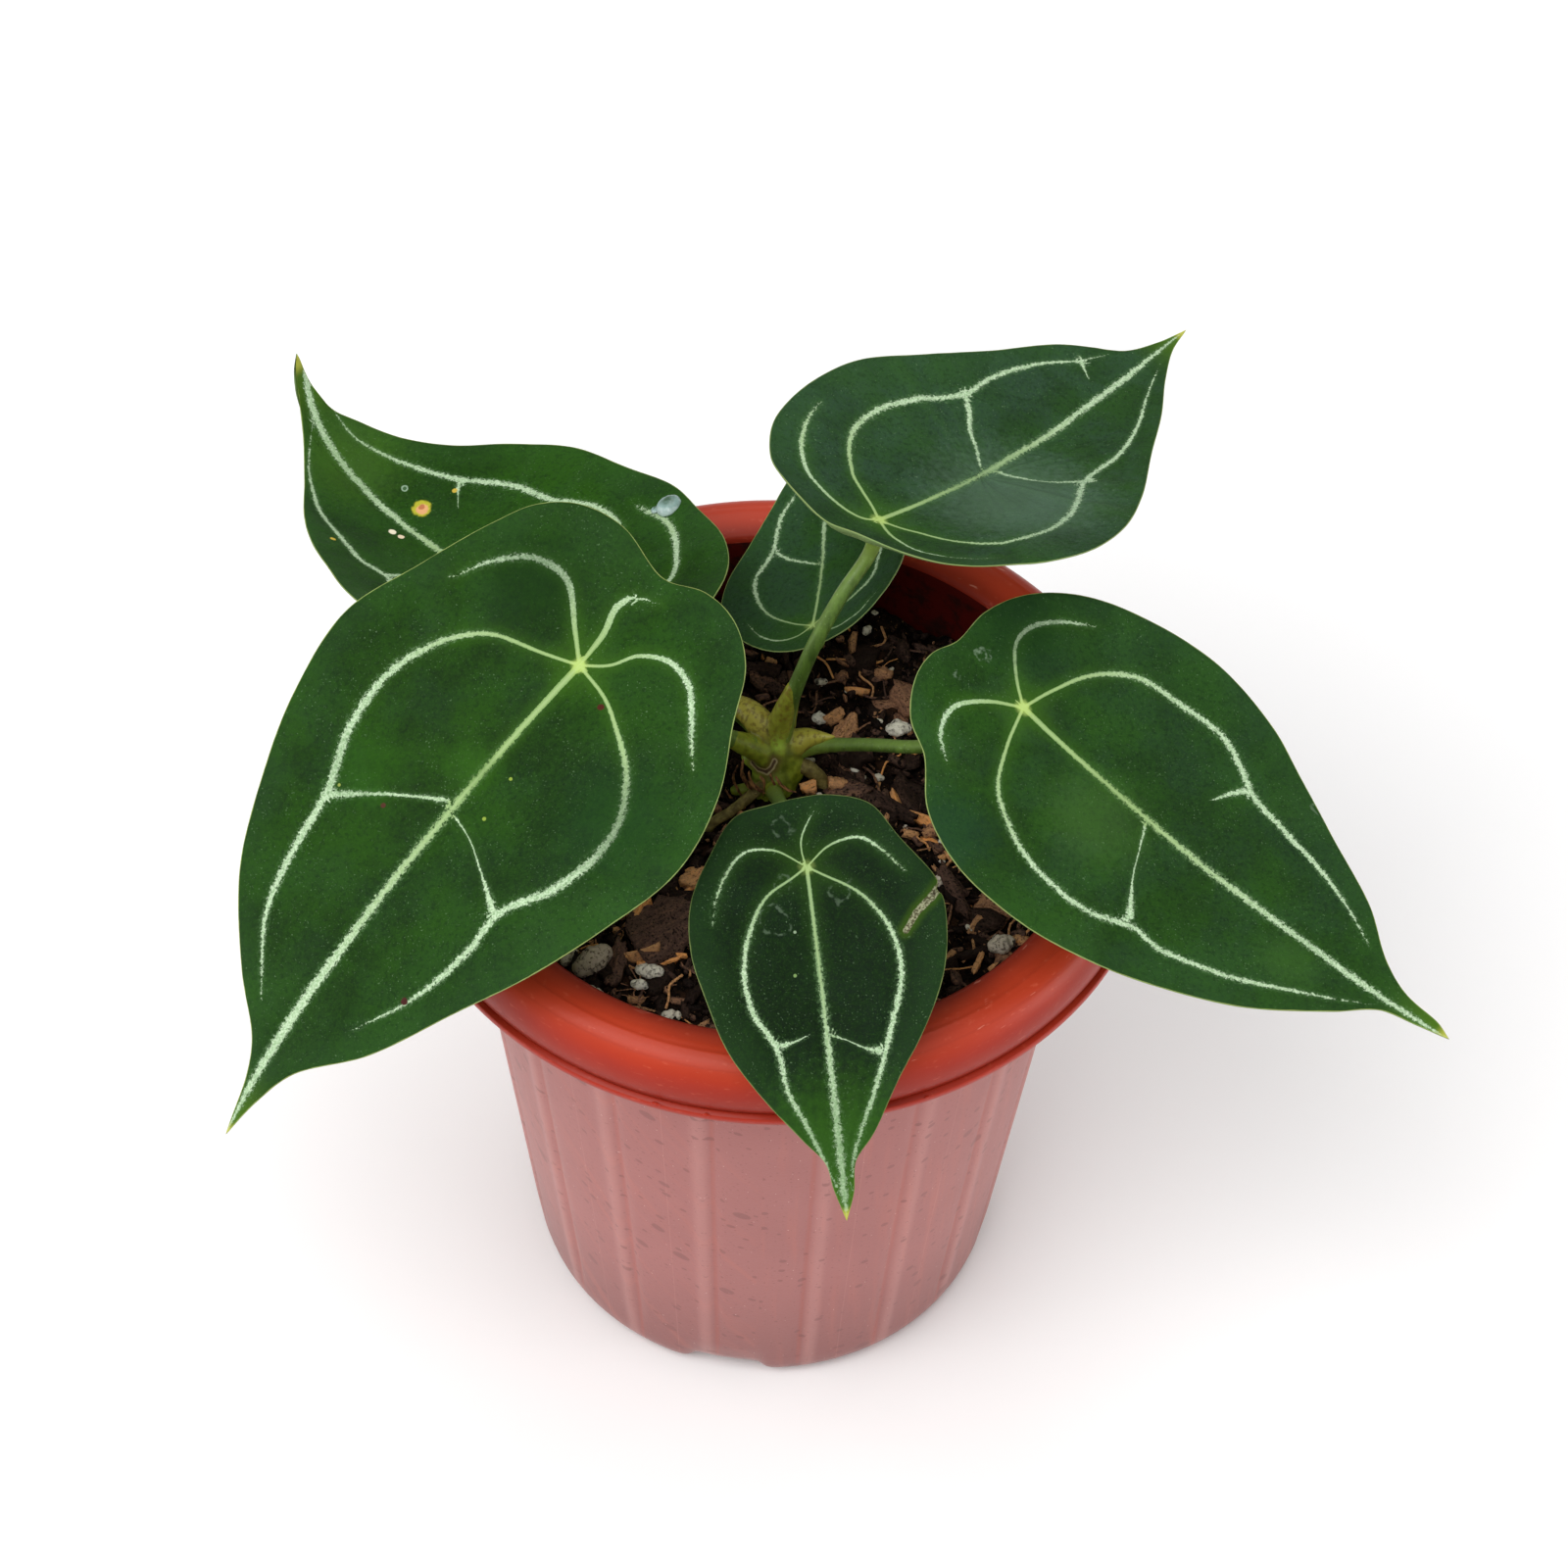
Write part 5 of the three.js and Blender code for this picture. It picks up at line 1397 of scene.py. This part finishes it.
# Perlite and pumice: x, y, radius, stretch, tint and turn in degrees
GRAINS = [
    (9, 30, 1.5, 1, 0, 0), (9, 40, 1, 1.3, 0.3, 0), (17, 15, 1.1, 2.4, 0, -50), (26, 26, 2.1, 1.2, 0, 20),
    (22, 14, 1, 1, 0.3, 0), (35, -15, 1.6, 1, 0.4, 0), (48, -31, 2.4, 1.1, 0.45, 30),
    (-24.7, -40.2, 2, 1.35, 0.15, -8), (-26.6, -43.3, 1.3, 1.4, 0.1, -20),
    (-36.6, -38.8, 3, 1.4, 0.65, 38), (-41.5, -36.5, 1.5, 1.8, 0.5, 60),
    (-19.8, -51.5, 1.5, 1.2, 0.3, 10), (-35.8, -46.4, 1.5, 2.2, 0.1, -38), (-35, -23, 1.2, 1.4, 0.1, 50),
]


def peat():
    rings = np.linspace(0, 1, 96)[1:] * SOIL_RADIUS
    turn = np.linspace(0, 2 * np.pi, SOIL_SIDES, endpoint=False)
    circle = np.stack([np.cos(turn), np.sin(turn)], 1)
    flat = np.vstack([np.zeros((1, 2))] + [radius * circle for radius in rings])
    fine = 0.9 * clouds(flat, 6.5, 11, 3) + 1.1 * np.abs(clouds(flat, 2.6, 31, 3)) - 0.5
    points = [np.column_stack([flat, ground(*flat.T) + fine])]
    faces = fan_faces(0, 1, SOIL_SIDES) + grid_faces(len(rings), SOIL_SIDES, start=1)
    outer = 1 + (len(rings) - 1) * SOIL_SIDES
    start = len(flat)
    for radius, z in SOIL_BODY:
        points.append(np.column_stack([radius * circle, np.full(SOIL_SIDES, z)]))
    faces += rim_wall(outer, start, SOIL_SIDES)
    faces += grid_faces(len(SOIL_BODY), SOIL_SIDES, start=start)
    last = start + (len(SOIL_BODY) - 1) * SOIL_SIDES
    faces.append(tuple(range(last, last + SOIL_SIDES))[::-1])
    add_piece("potting_mix", np.vstack(points), faces, [mix_finish()], replaces=("soil",))


def free(x, y, gap):
    """Whether this place is at least a gap away from the crown and the pot's wall."""
    return math.dist((x, y), CROWN_PLACE) > CROWN_CLEAR + gap and math.hypot(x, y) < SOIL_RADIUS - gap - 0.5


def bark(draw):
    heap = Heap()

    def add_flake(x, y, size, angle, tint, lift=0.0, tilt=0.2, **shape):
        points, faces = flake(draw, size, **shape)
        grain = points + draw.uniform(-40, 40, 3)
        sink = 0.5 + 0.3 * size[2] + lift
        heap.add(laid(points, draw, x, y, angle, tilt, sink), faces, tint=tint, grain=grain)

    for x, y, long, wide, thick, degrees, tint in CHIPS:
        angle = math.radians(degrees)
        add_flake(x, y, (long, wide, thick), angle, tint, lift=0.7, rings=5, sides=26, rugged=0.16)
    for _ in range(BARK_COUNT):
        spot = draw.uniform(-64, 64, 2)
        long = min(max(draw.gamma(2.4, 1.25), 1.0), 11)
        dark = draw.random() < 0.72
        tint = float(np.clip(draw.normal(*((0.24, 0.12) if dark else (0.68, 0.16))), 0.04, 0.98))
        size = (long, long * draw.uniform(0.25, 0.7), draw.uniform(0.5, 1.1) + 0.09 * long)
        angle = draw.uniform(0, 2 * np.pi)
        if free(*spot, long / 2) and math.dist(spot, CHIPS[0][:2]) > 7:
            add_flake(*spot, size, angle, tint, tilt=0.45, rings=2, sides=10)
    heap.piece("bark_in_mix", "potting_mix", bark_finish())


def fibres(draw):
    heap = Heap()
    for _ in range(FIBRE_COUNT):
        x, y = draw.uniform(-62, 62, 2)
        angle = draw.uniform(0, 2 * np.pi)
        long = draw.uniform(3, 13)
        thick = draw.uniform(0.1, 0.34)
        tint = float(np.clip(draw.normal(0.68, 0.2), 0.2, 1))
        bend = draw.normal(0, 0.25, 4)
        lift = draw.uniform(0.2, 1.3)
        path = []
        for share, swing in zip((-0.5, -0.2, 0.15, 0.5), bend):
            px = x + long * share * math.cos(angle) - swing * long * math.sin(angle) * 0.5
            py = y + long * share * math.sin(angle) + swing * long * math.cos(angle) * 0.5
            path.append((px, py, float(ground(px, py)) + 0.9 + lift * (0.5 - abs(share)), thick))
        if all(free(px, py, 0.8) for px, py, _, _ in path):
            points, faces = tube(path, 5, 9)
            heap.add(points, faces, tint=tint, grain=points)
    heap.piece("fibres_in_mix", "potting_mix", bark_finish())


def strewn_grain(draw):
    """A small grain in the form of the rows in GRAINS."""
    x, y = draw.uniform(-60, 60, 2)
    radius = draw.uniform(0.45, 1.1)
    stretch = draw.uniform(1, 1.8)
    tint = float(draw.uniform(0, 0.5))
    return x, y, radius, stretch, tint, draw.uniform(0, 180)


def perlite(draw):
    heap = Heap()
    for index in range(len(GRAINS) + GRAIN_COUNT):
        x, y, radius, stretch, tint, degrees = GRAINS[index] if index < len(GRAINS) else strewn_grain(draw)
        if not free(x, y, radius):
            continue
        reach = radius * stretch * 0.6
        path = [(-reach, 0, 0, radius * 0.75), (0, 0, 0, radius), (reach, 0, 0, radius * 0.7)]
        points, faces = tube(path, 18, 9, rough=0.16, seed=int(draw.integers(500)))
        sink = 0.6 + (0.3 if radius < 1.2 else 0.6) * radius
        placed = laid(points * (1, 1, 0.8), draw, x, y, math.radians(degrees), sink=sink)
        heap.add(placed, faces, tint=tint)
    heap.piece("perlite_in_mix", "potting_mix", perlite_finish())


def soil():
    draw = np.random.default_rng(7)
    peat()
    bark(draw)
    fibres(draw)
    perlite(draw)


# Camera, light and floor

# The camera's place in millimetres, the ways its picture's right and up point, and its lens
CAMERA = {
    "place": (1.733, -621.06, 935.31),
    "right": (0.999463, 0.025682, 0.020351),
    "up": (-0.032768, 0.783340, 0.620729),
    "lens": 109.52,
    "sensor": 36,
    "sees_to": 20,
}
WORLD_STRENGTH = 0.44
# Square lamps: place, target and side in metres, and power
LAMPS = {
    "key": ((-0.5, -0.6, 1.35), (0, 0, 0.1), 1.1, 18),
    "top_back": ((0.2, 0.5, 1.3), (0, 0, 0.1), 0.9, 5),
    "fill": ((1.0, -0.6, 1.1), (0, 0, 0.1), 1.0, 2.5),
    "left_side": ((-1.2, -0.25, 0.2), (0, 0, 0.06), 0.6, 5),
    "right_side": ((1.2, -0.3, 0.1), (0, 0, 0.04), 0.6, 7),
}
FLOOR_HALF = 4


def camera():
    data = bpy.data.cameras.new("camera")
    data.lens = CAMERA["lens"]
    data.sensor_width = CAMERA["sensor"]
    data.clip_end = CAMERA["sees_to"]
    eye = add_object("camera", data)
    matrix = np.eye(4)
    matrix[:3, 0] = CAMERA["right"]
    matrix[:3, 1] = CAMERA["up"]
    matrix[:3, 2] = np.cross(CAMERA["right"], CAMERA["up"])
    matrix[:3, 3] = np.array(CAMERA["place"]) * MM
    eye.matrix_world = Matrix(matrix.tolist())
    bpy.context.scene.camera = eye


def lights():
    world = bpy.data.worlds.new("studio")
    world.use_nodes = True
    world.node_tree.nodes["Background"].inputs[0].default_value = (1, 1, 1, 1)
    world.node_tree.nodes["Background"].inputs[1].default_value = WORLD_STRENGTH
    bpy.context.scene.world = world
    for name, (place, target, size, power) in LAMPS.items():
        data = bpy.data.lights.new(name, "AREA")
        data.shape = "RECTANGLE"
        data.size = size
        data.size_y = size
        data.energy = power
        lamp = add_object(name, data)
        lamp.location = place
        aim = Vector(target) - Vector(place)
        lamp.rotation_euler = aim.to_track_quat("-Z", "Y").to_euler()


def floor():
    finish = Finish("floor_white", {"Specular IOR Level": 0.1})
    shade = finish.blend(finish.noise(300, 2), (0.9, 0.9, 0.9, 1), (0.93, 0.93, 0.93, 1))
    material = finish.set(Base_Color=shade, Roughness=0.9)
    mesh = bpy.data.meshes.new("floor")
    corners = [(x * FLOOR_HALF, y * FLOOR_HALF, 0) for x, y in ((-1, -1), (1, -1), (1, 1), (-1, 1))]
    mesh.from_pydata(corners, [], [(0, 1, 2, 3)])
    mesh.materials.append(material)
    add_object("floor", mesh)


camera()
lights()
floor()
bpy.context.scene.view_settings.view_transform = "Standard"
pot()
mould_flash()
stalks()
crown()
shreds()
roots()
soil()
blade_sides = [underside_finish(), edge_finish()]
for side, leaf in LEAVES.items():
    blade(side, leaf, [leaf_finish(side), *blade_sides])
water_drop()
